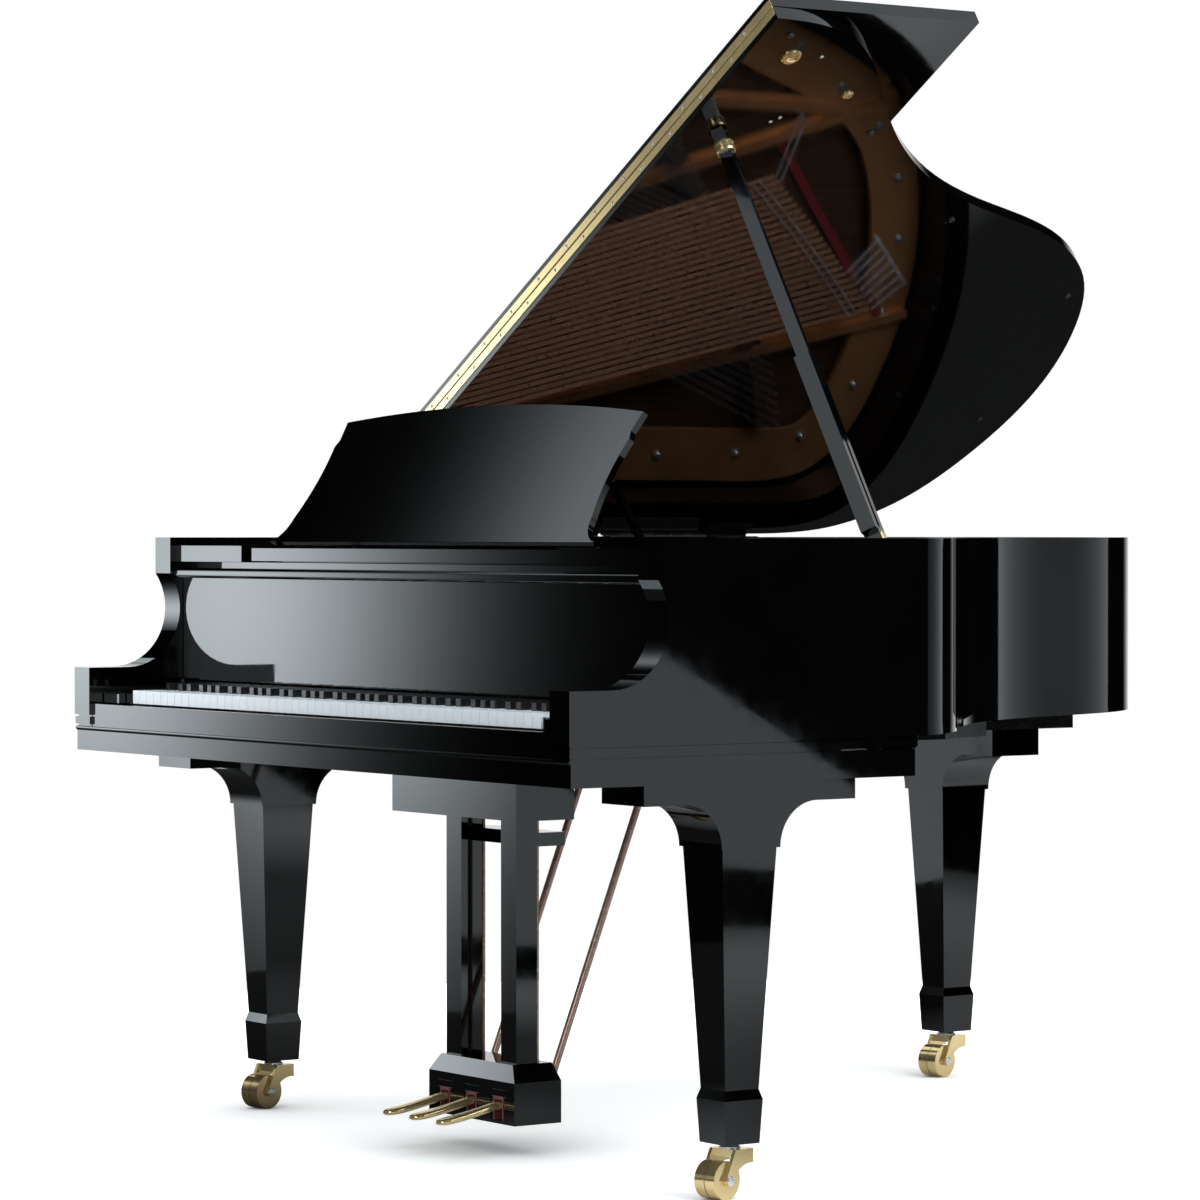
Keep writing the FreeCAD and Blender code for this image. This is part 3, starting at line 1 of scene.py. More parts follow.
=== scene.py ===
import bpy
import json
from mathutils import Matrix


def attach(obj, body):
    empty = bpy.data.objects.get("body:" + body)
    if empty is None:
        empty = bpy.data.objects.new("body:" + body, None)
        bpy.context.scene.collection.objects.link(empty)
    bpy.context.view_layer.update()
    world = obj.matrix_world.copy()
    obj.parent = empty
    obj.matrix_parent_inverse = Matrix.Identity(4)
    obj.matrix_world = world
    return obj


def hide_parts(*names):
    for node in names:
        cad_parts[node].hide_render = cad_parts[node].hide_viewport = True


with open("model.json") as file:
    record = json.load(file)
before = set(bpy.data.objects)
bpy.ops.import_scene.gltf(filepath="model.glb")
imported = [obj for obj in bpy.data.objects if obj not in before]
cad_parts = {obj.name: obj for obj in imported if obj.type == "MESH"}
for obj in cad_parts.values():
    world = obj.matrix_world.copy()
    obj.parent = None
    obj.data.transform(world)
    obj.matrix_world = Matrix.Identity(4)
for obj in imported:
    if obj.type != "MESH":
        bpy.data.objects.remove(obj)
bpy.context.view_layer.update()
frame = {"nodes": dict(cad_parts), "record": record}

import json
import math

import bmesh
import bpy
from mathutils import Matrix, Vector
from mathutils.bvhtree import BVHTree

NODES = frame["nodes"]
ORIGIN_X = 0.016
FRONT_Y = -0.890
NOTES = ("c", "c_sharp", "d", "d_sharp", "e", "f", "f_sharp", "g", "g_sharp", "a", "a_sharp", "b")
PEDALS = {"soft": -78, "sostenuto": 0, "damper": 78}


def at(x, depth, z):
    """Millimetres from the keyboard's middle, the arm fronts and the floor, as a point of the row frame."""
    return Vector((x / 1000 + ORIGIN_X, FRONT_Y + depth / 1000, z / 1000))


def set_out(name, data):
    """A new object in the scene."""
    thing = bpy.data.objects.new(name, data)
    bpy.context.collection.objects.link(thing)
    return thing


# ---------------------------------------------------------------- camera

YAW, PITCH = 0.962982, 0.01456
SENSOR_MM, LENS_MM = 36, 138.09
CAMERA_PLACE = (6.2002, -4.6218, 0.9915)
camera = set_out("camera", bpy.data.cameras.new("camera"))
camera.data.sensor_width = SENSOR_MM
camera.data.lens = LENS_MM
camera.location = CAMERA_PLACE
sight = Vector((-math.sin(YAW) * math.cos(PITCH), math.cos(YAW) * math.cos(PITCH), -math.sin(PITCH)))
camera.rotation_euler = sight.to_track_quat("-Z", "Y").to_euler()
bpy.context.scene.camera = camera
bpy.context.scene.view_settings.view_transform = "Standard"


# ---------------------------------------------------------------- materials

class Tree:
    """The nodes of a material or of the world, and short ways to add to them."""

    def __init__(self, owner, cleared=True):
        owner.use_nodes = True
        self.tree = owner.node_tree
        if cleared:
            self.tree.nodes.clear()

    def add(self, kind, inputs=None, **settings):
        """A node; each input is fed by another node's socket or set to a value."""
        node = self.tree.nodes.new(kind)
        for key, value in settings.items():
            setattr(node, key, value)
        for key, value in (inputs or {}).items():
            if isinstance(value, bpy.types.NodeSocket):
                self.tree.links.new(value, node.inputs[key])
            else:
                node.inputs[key].default_value = value
        return node

    def math(self, operation, *values):
        return self.add("ShaderNodeMath", dict(enumerate(values)), operation=operation).outputs[0]

    def vector(self, operation, *values, result="Value"):
        return self.add("ShaderNodeVectorMath", dict(enumerate(values)), operation=operation).outputs[result]

    def spread(self, fac, low, high, start=0.3, end=0.7, **settings):
        return self.add(
            "ShaderNodeMapRange",
            {"Value": fac, "From Min": start, "From Max": end, "To Min": low, "To Max": high},
            **settings).outputs[0]

    def ramp(self, fac, *stops):
        node = self.add("ShaderNodeValToRGB", {"Fac": fac})
        points = node.color_ramp.elements
        while len(points) < len(stops):
            points.new(0.5)
        for point, (place, colour) in zip(points, stops):
            point.position = place
            point.color = (*colour, 1)
        return node.outputs["Color"]


class Look(Tree):
    """A material: its principled shader and the nodes that feed it."""

    def __init__(self, name, **sockets):
        self.material = bpy.data.materials.new(name)
        super().__init__(self.material, cleared=False)
        self.shader = self.tree.nodes["Principled BSDF"]
        for socket, value in sockets.items():
            self.shader.inputs[socket.replace("_", " ")].default_value = value
        self.place = self.add("ShaderNodeTexCoord").outputs["Object"]

    def stretch(self, scale, turn=(0, 0, 0)):
        return self.add(
            "ShaderNodeMapping", {"Vector": self.place, "Scale": scale, "Rotation": turn}).outputs[0]

    def noise(self, scale, detail, where=None):
        return self.add(
            "ShaderNodeTexNoise", {"Vector": where or self.place, "Scale": scale, "Detail": detail}).outputs[0]

    def waves(self, scale, where, wobble, detail=2):
        return self.add(
            "ShaderNodeTexWave",
            {"Vector": where, "Scale": scale, "Distortion": wobble, "Detail": detail}).outputs["Fac"]

    def height(self):
        return self.add("ShaderNodeSeparateXYZ", {"Vector": self.place}).outputs["Z"]

    def blend(self, fac, first, second):
        node = self.add("ShaderNodeMix", {"Factor": fac}, data_type="RGBA")
        for socket, value in (("A", first), ("B", second)):
            self.tree.links.new(value, [s for s in node.inputs if s.name == socket and s.type == "RGBA"][0])
        return [s for s in node.outputs if s.type == "RGBA"][0]

    def feed(self, name, socket):
        self.tree.links.new(socket, self.shader.inputs[name])

    def colour(self, socket):
        self.feed("Base Color", socket)

    def bumps(self, fac, strength, distance):
        bump = self.add("ShaderNodeBump", {"Height": fac, "Strength": strength, "Distance": distance})
        self.feed("Normal", bump.outputs[0])


def lacquer(name, depth, gloss):
    """Black polyester: deep black, nearly mirror-smooth, with the faint unevenness of hand polishing."""
    look = Look(name, IOR=1.5)
    low, high = depth
    cloud = look.noise(scale=5, detail=4)
    look.colour(look.ramp(cloud, (0.3, (low, low, low * 1.08)), (0.7, (high, high, high * 1.1))))
    look.feed("Roughness", look.spread(look.noise(scale=38, detail=5), *gloss))
    look.bumps(look.noise(scale=16, detail=2), strength=0.02, distance=0.0006)
    return look.material


def metal(name, light, dark, gloss, share):
    """Polished metal: faint cloudiness in the colour and fine polishing marks."""
    look = Look(name, Metallic=share)
    look.colour(look.ramp(look.noise(scale=14, detail=2), (0.25, dark), (0.75, light)))
    look.feed("Roughness", look.spread(look.noise(scale=40, detail=2), *gloss))
    look.bumps(look.noise(scale=60, detail=1), strength=0.01, distance=0.0003)
    return look.material


def wood(name, light, dark, turn, lines=70):
    """Straight grain along the turned Y axis."""
    look = Look(name)
    grain = look.stretch((1, 0.05, 1), (0, 0, turn))
    rings = look.waves(lines / 6, grain, wobble=6, detail=3)
    pores = look.noise(lines * 3, 5, grain)
    look.colour(look.ramp(look.math("MULTIPLY", rings, pores), (0.1, dark), (0.5, light)))
    look.feed("Roughness", look.spread(pores, 0.38, 0.55))
    look.bumps(pores, strength=0.12, distance=0.0004)
    return look.material


def felt(name, light, dark):
    look = Look(name, Roughness=0.95, Sheen_Weight=0.4)
    fuzz = look.noise(scale=900, detail=6)
    look.colour(look.ramp(fuzz, (0.3, dark), (0.7, light)))
    look.bumps(fuzz, strength=0.5, distance=0.0008)
    return look.material


def plastic(name, light, dark, gloss=(0.12, 0.22), grain=0.03):
    look = Look(name, IOR=1.49)
    look.colour(look.ramp(look.noise(scale=30, detail=4), (0.3, dark), (0.7, light)))
    look.feed("Roughness", look.spread(look.noise(scale=160, detail=4), *gloss))
    look.bumps(look.noise(scale=600, detail=3), strength=grain, distance=0.0003)
    return look.material


def two_heights(name, split, lower, upper, gloss):
    """One colour below a height and another above it, for pieces that stand on others."""
    shade, half_seam = 0.82, 0.0005
    look = Look(name)
    fuzz = look.noise(scale=500, detail=5)
    above = look.spread(look.height(), 0, 1, split - half_seam, split + half_seam)
    low, high = (
        look.ramp(fuzz, (0.3, tuple(c * shade for c in colour)), (0.7, colour)) for colour in (lower, upper))
    look.colour(look.blend(above, low, high))
    look.feed("Roughness", look.spread(fuzz, *gloss))
    look.bumps(fuzz, strength=0.25, distance=0.0006)
    return look.material


def bronzed_iron():
    """Bronze lacquer over sand-cast iron."""
    look = Look("bronzed_iron", Metallic=0.55)
    cloud = look.noise(scale=14, detail=5)
    look.colour(look.ramp(cloud, (0.3, (0.62, 0.275, 0.11)), (0.7, (0.80, 0.38, 0.16))))
    look.feed("Roughness", look.spread(look.noise(scale=220, detail=5), 0.34, 0.5))
    look.bumps(look.noise(scale=340, detail=5), strength=0.3, distance=0.0007)
    return look.material


def wound_copper():
    """Copper winding: fine rings along the string."""
    look = Look("wound_copper", Metallic=0.75)
    rings = look.waves(260, look.stretch((0.4, 1, 0.4)), wobble=0.2)
    look.colour(look.ramp(rings, (0.2, (0.60, 0.29, 0.17)), (0.8, (0.70, 0.36, 0.22))))
    look.feed("Roughness", look.spread(look.noise(scale=90, detail=4), 0.26, 0.36))
    look.bumps(rings, strength=0.08, distance=0.0003)
    return look.material


LACQUER = lacquer("black_lacquer", (0.0004, 0.0009), (0.025, 0.06))
SATIN = lacquer("satin_black", (0.0022, 0.004), (0.2, 0.32))
BRASS = metal("polished_brass", (0.84, 0.65, 0.33), (0.80, 0.61, 0.30), (0.12, 0.2), 0.84)
WHEEL_BRASS = metal("wheel_brass", (0.85, 0.64, 0.32), (0.81, 0.60, 0.29), (0.09, 0.15), 0.9)
ROD_METAL = metal("brown_brass", (0.44, 0.28, 0.22), (0.41, 0.26, 0.20), (0.24, 0.3), 0.6)
STEEL = metal("polished_steel", (0.78, 0.78, 0.80), (0.70, 0.70, 0.73), (0.2, 0.3), 0.8)
PIN_STEEL = metal("bright_steel", (0.90, 0.92, 0.95), (0.82, 0.84, 0.87), (0.2, 0.3), 0.45)
BARE_WOOD = wood("beech", (0.60, 0.42, 0.25), (0.42, 0.27, 0.14), 0.3)
# Painted shade: the soundboard's spruce is coloured far darker than bare spruce, standing in for the shade
# inside the case.
SHADE_DARK_SPRUCE = wood("spruce", (0.105, 0.052, 0.024), (0.065, 0.031, 0.014), 0.75, 150)
WHITE_KEY = plastic("white_key_top", (0.83, 0.87, 0.90), (0.78, 0.82, 0.85))
BLACK_KEY = plastic("black_key_top", (0.011, 0.011, 0.012), (0.006, 0.006, 0.0065), (0.2, 0.34), 0.08)
RED_FELT = felt("red_felt", (0.42, 0.018, 0.022), (0.25, 0.008, 0.012))
DARK_FELT = felt("dark_red_felt", (0.20, 0.010, 0.014), (0.11, 0.005, 0.008))
BLACK_FELT = felt("black_felt", (0.010, 0.010, 0.011), (0.005, 0.005, 0.006))
RUBBER = plastic("black_rubber", (0.016, 0.016, 0.017), (0.008, 0.008, 0.009), (0.4, 0.6), 0.2)
PLATE = bronzed_iron()
COPPER = wound_copper()
DAMPER_LOOK = two_heights(
    "damper_felt_and_wood", 0.957, (0.72, 0.69, 0.62), (0.075, 0.075, 0.08), (0.3, 0.5))
HAMMER_LOOK = two_heights(
    "hammer_felt_and_wood", 0.80, (0.62, 0.46, 0.28), (0.82, 0.79, 0.72), (0.4, 0.7))

SLOT_LOOKS = {
    "black_lacquer": LACQUER, "bare_wood": BARE_WOOD, "spruce": SHADE_DARK_SPRUCE, "bronzed_iron": PLATE,
    "string_steel": STEEL, "wound_copper": COPPER, "brass": BRASS, "white_key": WHITE_KEY,
    "black_key": BLACK_KEY, "felt_and_wood": HAMMER_LOOK, "wheel_brass": WHEEL_BRASS,
}
NODE_LOOKS = {
    "dampers": DAMPER_LOOK, "lyre_braces": ROD_METAL, "inner_rim": SATIN, "back_posts": SATIN,
    "lid_hinge_lid_leaves": SATIN, "lid_hinge_case_leaves": SATIN,
}
for pedal in PEDALS:
    NODE_LOOKS[f"{pedal}_pedal_rod"] = ROD_METAL


def dress(thing, look):
    thing.data.materials.clear()
    thing.data.materials.append(look)


for part in frame["record"]["subparts"]:
    name = part["node"]
    dress(NODES[name], NODE_LOOKS.get(name, SLOT_LOOKS[part["material_slot"]]))

# Rounded edges, in millimetres, for the pieces whose edges catch the light.
EDGE_ROUNDS = {
    "outer_rim": 1.6, "lid_main": 2.2, "lid_flap": 2.2, "fallboard": 2.0, "music_shelf": 1.5,
    "music_desk": 1.8, "keybed": 1.8, "key_slip": 1.8, "key_blocks": 2.0, "shelf_rails": 1.2,
    "desk_struts": 1.0, "lyre_top_block": 1.8, "lyre_posts": 1.8, "pedal_box": 1.8, "prop_stick": 4.0,
    "short_prop": 1.2, "prop_bracket": 0.6, "iron_plate": 2.2, "soundboard": 1.0, "pin_block": 1.0,
    "hammer_action": 0.6, "dampers": 0.4,
}
for corner in ("left", "right", "rear"):
    EDGE_ROUNDS.update({f"{corner}_leg": 2.0, f"{corner}_caster_fork": 1.2, f"{corner}_caster_wheels": 2.0})
for pedal in PEDALS:
    EDGE_ROUNDS[f"{pedal}_pedal"] = 3.0
for note in NOTES:
    EDGE_ROUNDS[f"keys_{note}"] = 2.6 if "sharp" in note else 0.9


def round_edges(thing, size):
    bevel = thing.modifiers.new("edges", "BEVEL")
    bevel.width = size / 1000
    bevel.segments = 2
    bevel.limit_method = "ANGLE"
    bevel.angle_limit = math.radians(40)
    bevel.harden_normals = True
    bevel.use_clamp_overlap = True


for name, size in EDGE_ROUNDS.items():
    round_edges(NODES[name], size)


# ---------------------------------------------------------------- small pieces

SHARP_ANGLE = math.radians(38)


def lathe(profile, sides):
    """A turned shape: (radius, height) points in millimetres, from the middle out and back."""
    shape = bmesh.new()
    rings = []
    for radius, height in profile:
        count = sides if radius else 1
        turns = [2 * math.pi * i / count for i in range(count)]
        rings.append([
            shape.verts.new((radius * math.cos(turn) / 1000, radius * math.sin(turn) / 1000, height / 1000))
            for turn in turns])
    for low, high in zip(rings, rings[1:]):
        for i in range(sides):
            corners = [
                low[i % len(low)], low[(i + 1) % len(low)], high[(i + 1) % len(high)], high[i % len(high)]]
            corners = [v for k, v in enumerate(corners) if v not in corners[:k]]
            if len(corners) > 2:
                shape.faces.new(corners)
    bmesh.ops.recalc_face_normals(shape, faces=shape.faces)
    return shape


def slab(low, high):
    """A box between two corners given in millimetres of the piano, kept in the row frame."""
    a, b = at(*low), at(*high)
    shape = bmesh.new()
    bmesh.ops.create_cube(shape, size=1)
    for vert in shape.verts:
        vert.co = Vector(((a[k] + b[k]) / 2 + vert.co[k] * (b[k] - a[k]) for k in range(3)))
    return shape


def loft(sections):
    """Rings of points joined one to the next and closed at both ends."""
    shape = bmesh.new()
    rings = [[shape.verts.new(point) for point in section] for section in sections]
    count = len(rings[0])
    for low, high in zip(rings, rings[1:]):
        for i in range(count):
            shape.faces.new((low[i], low[(i + 1) % count], high[(i + 1) % count], high[i]))
    shape.faces.new(rings[0])
    shape.faces.new(rings[-1])
    bmesh.ops.recalc_face_normals(shape, faces=shape.faces)
    return shape


def gather(shapes):
    """Several shapes as one; each comes with the matrices that it is set at."""
    mesh = bpy.data.meshes.new("gathered")
    whole = bmesh.new()
    for shape, places in shapes:
        shape.to_mesh(mesh)
        for place in places:
            first = len(whole.verts)
            whole.from_mesh(mesh)
            whole.verts.ensure_lookup_table()
            bmesh.ops.transform(whole, matrix=place, verts=whole.verts[first:])
        shape.free()
    bpy.data.meshes.remove(mesh)
    return whole


def boxes(corners, place=Matrix()):
    """Boxes between pairs of corners, as one shape."""
    return gather([(slab(low, high), [place]) for low, high in corners])


def piece(name, shape, look, body, slot, edge=None, smooth=True):
    """A shape as a piece of the model; edge is the rounding of its edges in millimetres."""
    mesh = bpy.data.meshes.new(name)
    bmesh.ops.recalc_face_normals(shape, faces=shape.faces)
    shape.to_mesh(mesh)
    shape.free()
    thing = set_out(name, mesh)
    if smooth:
        mesh.polygons.foreach_set("use_smooth", [True] * len(mesh.polygons))
        mesh.set_sharp_from_angle(angle=SHARP_ANGLE)
    dress(thing, look)
    if edge:
        round_edges(thing, edge)
    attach(thing, body)
    return thing


def turned(name, profile, sides, places, look, body, slot, **finish):
    """One turned shape at one or more places, as a piece."""
    return piece(name, gather([(lathe(profile, sides), places)]), look, body, slot, **finish)


LID_ANGLE = math.radians(31.88)
LID_UNDERSIDE = 988
HINGE = at(-755, 0, 986)
LID_TURN = Matrix.Translation(HINGE) @ Matrix.Rotation(-LID_ANGLE, 4, "Y") @ Matrix.Translation(-HINGE)
TO_FRONT = Matrix.Rotation(math.radians(90), 4, "X")


def stand(x, depth, z):
    return Matrix.Translation(at(x, depth, z))


def under_lid(x, depth):
    """On the open lid's underside, pointing away from it; the place is given with the lid closed."""
    return LID_TURN @ stand(x, depth, LID_UNDERSIDE) @ Matrix.Rotation(math.pi, 4, "X")


# Fittings under the lid.
turned("lid_cup", [(0, 0), (17, 0), (17, 1.6), (15.5, 3.2), (11, 3.4), (8.5, 1.4), (0, 1.1)], 36,
       [under_lid(660, 624)], BRASS, "lid", "brass")
turned("lid_catch", [(0, 0), (10, 0), (10, 1.3), (8.6, 2.9), (4.2, 3.3), (3.0, 2.0), (0, 2.0)], 32,
       [under_lid(576, 791)], BRASS, "lid", "brass")
turned("lid_screw", [(0, 0), (3.4, 0), (3.4, 0.7), (2.6, 1.3), (0.9, 1.4), (0.8, 0.7), (0, 0.7)], 20,
       [under_lid(665, 681), under_lid(506, 701), under_lid(494, 690)], STEEL, "lid", "string_steel")
BUFFER_PLACES = ((712, 589), (482, 900), (259, 1224), (52, 1633), (-348, 1711))
turned("lid_buffers", [(0, 0), (6, 0), (6, 2.0), (5, 3.2), (3, 3.6), (0, 3.7)], 24,
       [under_lid(*place) for place in BUFFER_PLACES], RUBBER, "lid", "black_lacquer")

# The prop's ferrule, in the prop's own direction.
PROP_FOOT = at(664, 620, 981)
PROP_UP = Vector((-math.sin(LID_ANGLE), 0, math.cos(LID_ANGLE)))
PROP_AXIS = PROP_UP.cross(Vector((-0.65, 0.76, 0))).normalized()
PROP_SIDE = PROP_UP.cross(PROP_AXIS)
PROP_FRAME = Matrix((PROP_AXIS, PROP_SIDE, PROP_UP)).transposed().to_4x4()
PROP_FRAME.translation = PROP_FOOT
FERRULE = [
    (12, 0), (15.6, 0), (16.4, 2), (16.4, 5), (15.2, 6.5), (15.2, 12), (16.4, 13.5), (16.4, 16.5), (15.6, 18),
    (12, 18), (12, 0)]
FERRULE_UP = 0.724
turned("prop_ferrule", FERRULE, 32, [PROP_FRAME @ Matrix.Translation((0, 0, FERRULE_UP))],
       BRASS, "prop", "brass")

# Screws of the long hinge between lid and flap, in both leaves, staggered so that they pass each other.
SCREW = [(0, 0), (3.1, 0), (3.1, 0.25), (2.5, 0.65), (0.7, 0.75), (0.6, 0.3), (0, 0.3)]
SCREW_DEPTH, SCREW_STEP = 538.8, 96
FIRST_SCREWS = [-722 + SCREW_STEP * i for i in range(15)]
for leaf, height, start in (("lid", 1003.5, 0), ("flap", 1018.5, SCREW_STEP / 2)):
    places = [LID_TURN @ stand(x + start, SCREW_DEPTH, height) @ TO_FRONT for x in FIRST_SCREWS]
    turned(f"{leaf}_leaf_screws", SCREW, 16, places, STEEL, leaf, "brass")

# A seat strip along the bass side, between the hinges, closes the gap under the lid.
BETWEEN_HINGES = ((545, 637), (755, 975), (1093, 1313))
piece("lid_seat_strip", boxes([
    ((-743, start, 984), (-722, end, 987.6)) for start, end in BETWEEN_HINGES]),
    BLACK_FELT, "case", "felt_and_wood", 0.6)

# The dust rail that hides the action below the music shelf.
piece("dust_rail", boxes([
    ((-691, 208, 903), (691, 221, 942.6)), ((-454, 209, 942.6), (454, 220, 944.7))]),
    LACQUER, "case", "black_lacquer", 0.8)

# A lip under the lid's bass edge, between the hinges.
LIP_START = 548
piece("lid_lip", boxes([
    ((-749.5, max(start, LIP_START), 983.2), (-745.4, end, LID_UNDERSIDE))
    for start, end in BETWEEN_HINGES], LID_TURN), SATIN, "lid", "black_lacquer", 0.6)

# A bead along the top of the keybed's front, and a cap on the front of each key block.
BEAD = (
    (4, 657.5), (3, 657.5), (2.6, 658.6), (1.5, 659.4), (0.7, 661), (0.6, 662.6), (1.2, 664), (2.6, 664.7),
    (4, 664.7))
piece("keybed_bead", loft([[at(x, depth, z) for depth, z in BEAD] for x in (-741, 741)]),
      LACQUER, "case", "black_lacquer")
piece("key_block_caps", boxes([
    ((middle - 27, 27, 703.6), (middle + 27, 40, 721.4)) for middle in (-663, 663)]),
    LACQUER, "case", "black_lacquer", 1.6)

# A stop pin on each key block.
STOP_PIN = [(0, 0), (4.2, 0), (4.2, 2), (2.6, 3), (2.4, 13), (4, 15), (4, 19), (2.5, 21), (0, 21.4)]
turned("cheek_stop", STOP_PIN, 20, [stand(-668, 168, 722), stand(668, 168, 722)],
       RUBBER, "case", "black_lacquer")

# Pedals: a slim neck, a rounded spoon of a tip and a soft crown. Each station has its depth, height, half width
# and half thickness.
PEDAL_STATIONS = (
    (202.2, 59.6, 2.4, 1.6), (203.6, 59.7, 6.0, 3.0), (207, 60.0, 9.6, 4.4), (213, 60.6, 12.4, 5.2),
    (222, 61.6, 13.9, 5.6), (234, 63.1, 14.0, 5.7), (250, 65.6, 12.9, 5.8), (268, 69.0, 11.2, 5.9),
    (288, 73.2, 10.0, 5.9), (304, 76.8, 9.6, 5.9), (320, 79.2, 9.6, 5.8), (345, 80.0, 9.6, 5.8),
    (372, 80.0, 9.6, 5.8), (398, 80.0, 9.4, 5.6), (400, 80.0, 8.2, 4.6))
PEDAL_POINTS = 28
SIDE_POWER, CROWN_POWER = 0.62, 0.72


def bulge(value, power):
    return math.copysign(abs(value) ** power, value)


def pedal_shape(x):
    turns = [2 * math.pi * i / PEDAL_POINTS for i in range(PEDAL_POINTS)]
    outline = [(bulge(math.cos(turn), SIDE_POWER), bulge(math.sin(turn), CROWN_POWER)) for turn in turns]
    return loft([
        [at(x + wide * side, depth, height + thick * up) for side, up in outline]
        for depth, height, wide, thick in PEDAL_STATIONS])


for name, x in PEDALS.items():
    spoon = piece(f"{name}_pedal_spoon", pedal_shape(x), BRASS, f"{name}_pedal", "brass")
    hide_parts(f"{name}_pedal")

# Each pedal's slot is closed round the pedal by a black plug lined with red felt.
SLOT_FOOT, SLOT_BACK = 55.2, 334


def slot_ring(x, outer, inner, front):
    """An upturned U round a pedal, as boxes: (half width, top) outside and inside, in millimetres."""
    return [
        ((x - outer[0], front, inner[1]), (x + outer[0], SLOT_BACK, outer[1])),
        ((x - outer[0], front, SLOT_FOOT), (x - inner[0], SLOT_BACK, inner[1])),
        ((x + inner[0], front, SLOT_FOOT), (x + outer[0], SLOT_BACK, inner[1]))]


for name, outer, inner, front, look, slot, edge in (
        ("pedal_plugs", (21.9, 104.8), (14.5, 93.5), 319, LACQUER, "black_lacquer", 0.6),
        ("pedal_felts", (14.4, 93.4), (11.2, 88.2), 318.2, DARK_FELT, "felt_and_wood", 0.8)):
    corners = [pair for x in PEDALS.values() for pair in slot_ring(x, outer, inner, front)]
    piece(name, boxes(corners), look, "case", slot, edge)

# Casters: a nut on each end of the axle, set on the fork's cheeks, and a collar round the stem.
HEADING = math.radians(282)
FORWARD = Vector((math.cos(HEADING), math.sin(HEADING), 0))
ROLL = Vector((-math.sin(HEADING), math.cos(HEADING), 0))
AXLE_HEIGHT, TRAIL, CHEEK = 29, 0.028, 0.02625
NUT = [(0, 0), (8.2, 0), (8.2, 2.2), (7.0, 3.4), (4.6, 3.6), (4.2, 4.8), (0, 5.0)]
COLLAR = [(8.8, 74.2), (16, 74.2), (16, 76.4), (13, 78.6), (11.5, 81.6), (8.8, 81.6), (8.8, 74.2)]
for name, x, depth in (("left", -664, 344), ("right", 664, 344), ("rear", -360, 1593)):
    axle = at(x, depth, AXLE_HEIGHT) + FORWARD * TRAIL
    places = []
    for side in (-1, 1):
        turn = (ROLL * side).to_track_quat("Z", "Y").to_matrix().to_4x4()
        places.append(Matrix.Translation(axle + ROLL * side * CHEEK) @ turn)
    turned(f"{name}_axle_nuts", NUT, 6, places, STEEL, f"{name}_fork", "string_steel", edge=0.5, smooth=False)
    turned(f"{name}_fork_collar", COLLAR, 28, [stand(x, depth, 0)], STEEL, f"{name}_fork", "string_steel")


# ---------------------------------------------------------------- inside the case

# The bass bridge's middle line: three points, and how far along the second one lies.
BRIDGE = ((-69.8, 1258.5), (-179.8, 1400.9), (-319.5, 1564.6))
BRIDGE_MIDDLE = 0.47
BRIDGE_TOP = 938.2
PLATE_TOP, LEVEL_PLAY = 902.3, 0.3
ABOVE_ALL = 1100


def on_bridge(share):
    """A point of the bass bridge's middle line and its direction, from the treble end to the bass end."""
    middle = BRIDGE_MIDDLE
    scales = (middle, middle * (middle - 1), 1 - middle)
    weights = ((share - middle) * (share - 1), share * (share - 1), share * (share - middle))
    slopes = (2 * share - 1 - middle, 2 * share - 1, 2 * share - middle)
    spot, way = Vector((0, 0)), Vector((0, 0))
    for point, scale, weight, slope in zip(BRIDGE, scales, weights, slopes):
        spot += Vector(point) * (weight / scale)
        way += Vector(point) * (slope / scale)
    return spot, way.normalized()


BRIDGE_PIN = [(0, 0), (1.7, 0), (1.7, 6.2), (1.2, 7.2), (0, 7.5)]
BRIDGE_PINS, PIN_SHIFT = 48, 7
pins = []
for i in range(BRIDGE_PINS):
    spot, way = on_bridge((i + 0.5) / BRIDGE_PINS)
    across = Vector((way.y, -way.x))
    for shift in (-PIN_SHIFT, PIN_SHIFT):
        pins.append(stand(*(spot + across * shift), BRIDGE_TOP))
turned("bass_bridge_pins", BRIDGE_PIN, 8, pins, PIN_STEEL, "case", "string_steel")


def along(line, share):
    return line[0] + (line[1] - line[0]) * share


def surface(*names):
    """The faces of some CAD nodes, to set small pieces down on them."""
    corners, faces = [], []
    for name in names:
        mesh = NODES[name].data
        first = len(corners)
        corners.extend(vert.co.copy() for vert in mesh.vertices)
        faces.extend([first + i for i in face.vertices] for face in mesh.polygons)
    return BVHTree.FromPolygons(corners, faces)


CASE_TOPS = surface("iron_plate", "soundboard")


def top_at(x, depth):
    """The height, in millimetres, of the plate or soundboard at a place."""
    place = CASE_TOPS.ray_cast(at(x, depth, ABOVE_ALL), Vector((0, 0, -1)))[0]
    return place.z * 1000 if place else None


def on_plate(x, depth):
    height = top_at(x, depth)
    return height is not None and abs(height - PLATE_TOP) < LEVEL_PLAY


def wire(start, end, radius):
    """A straight wire between two points of the row frame."""
    run = end - start
    turn = run.to_track_quat("Z", "Y").to_matrix().to_4x4()
    length = run.length * 1000
    return lathe([(0, 0), (radius, 0), (radius, length), (0, length)], 8), [Matrix.Translation(start) @ turn]


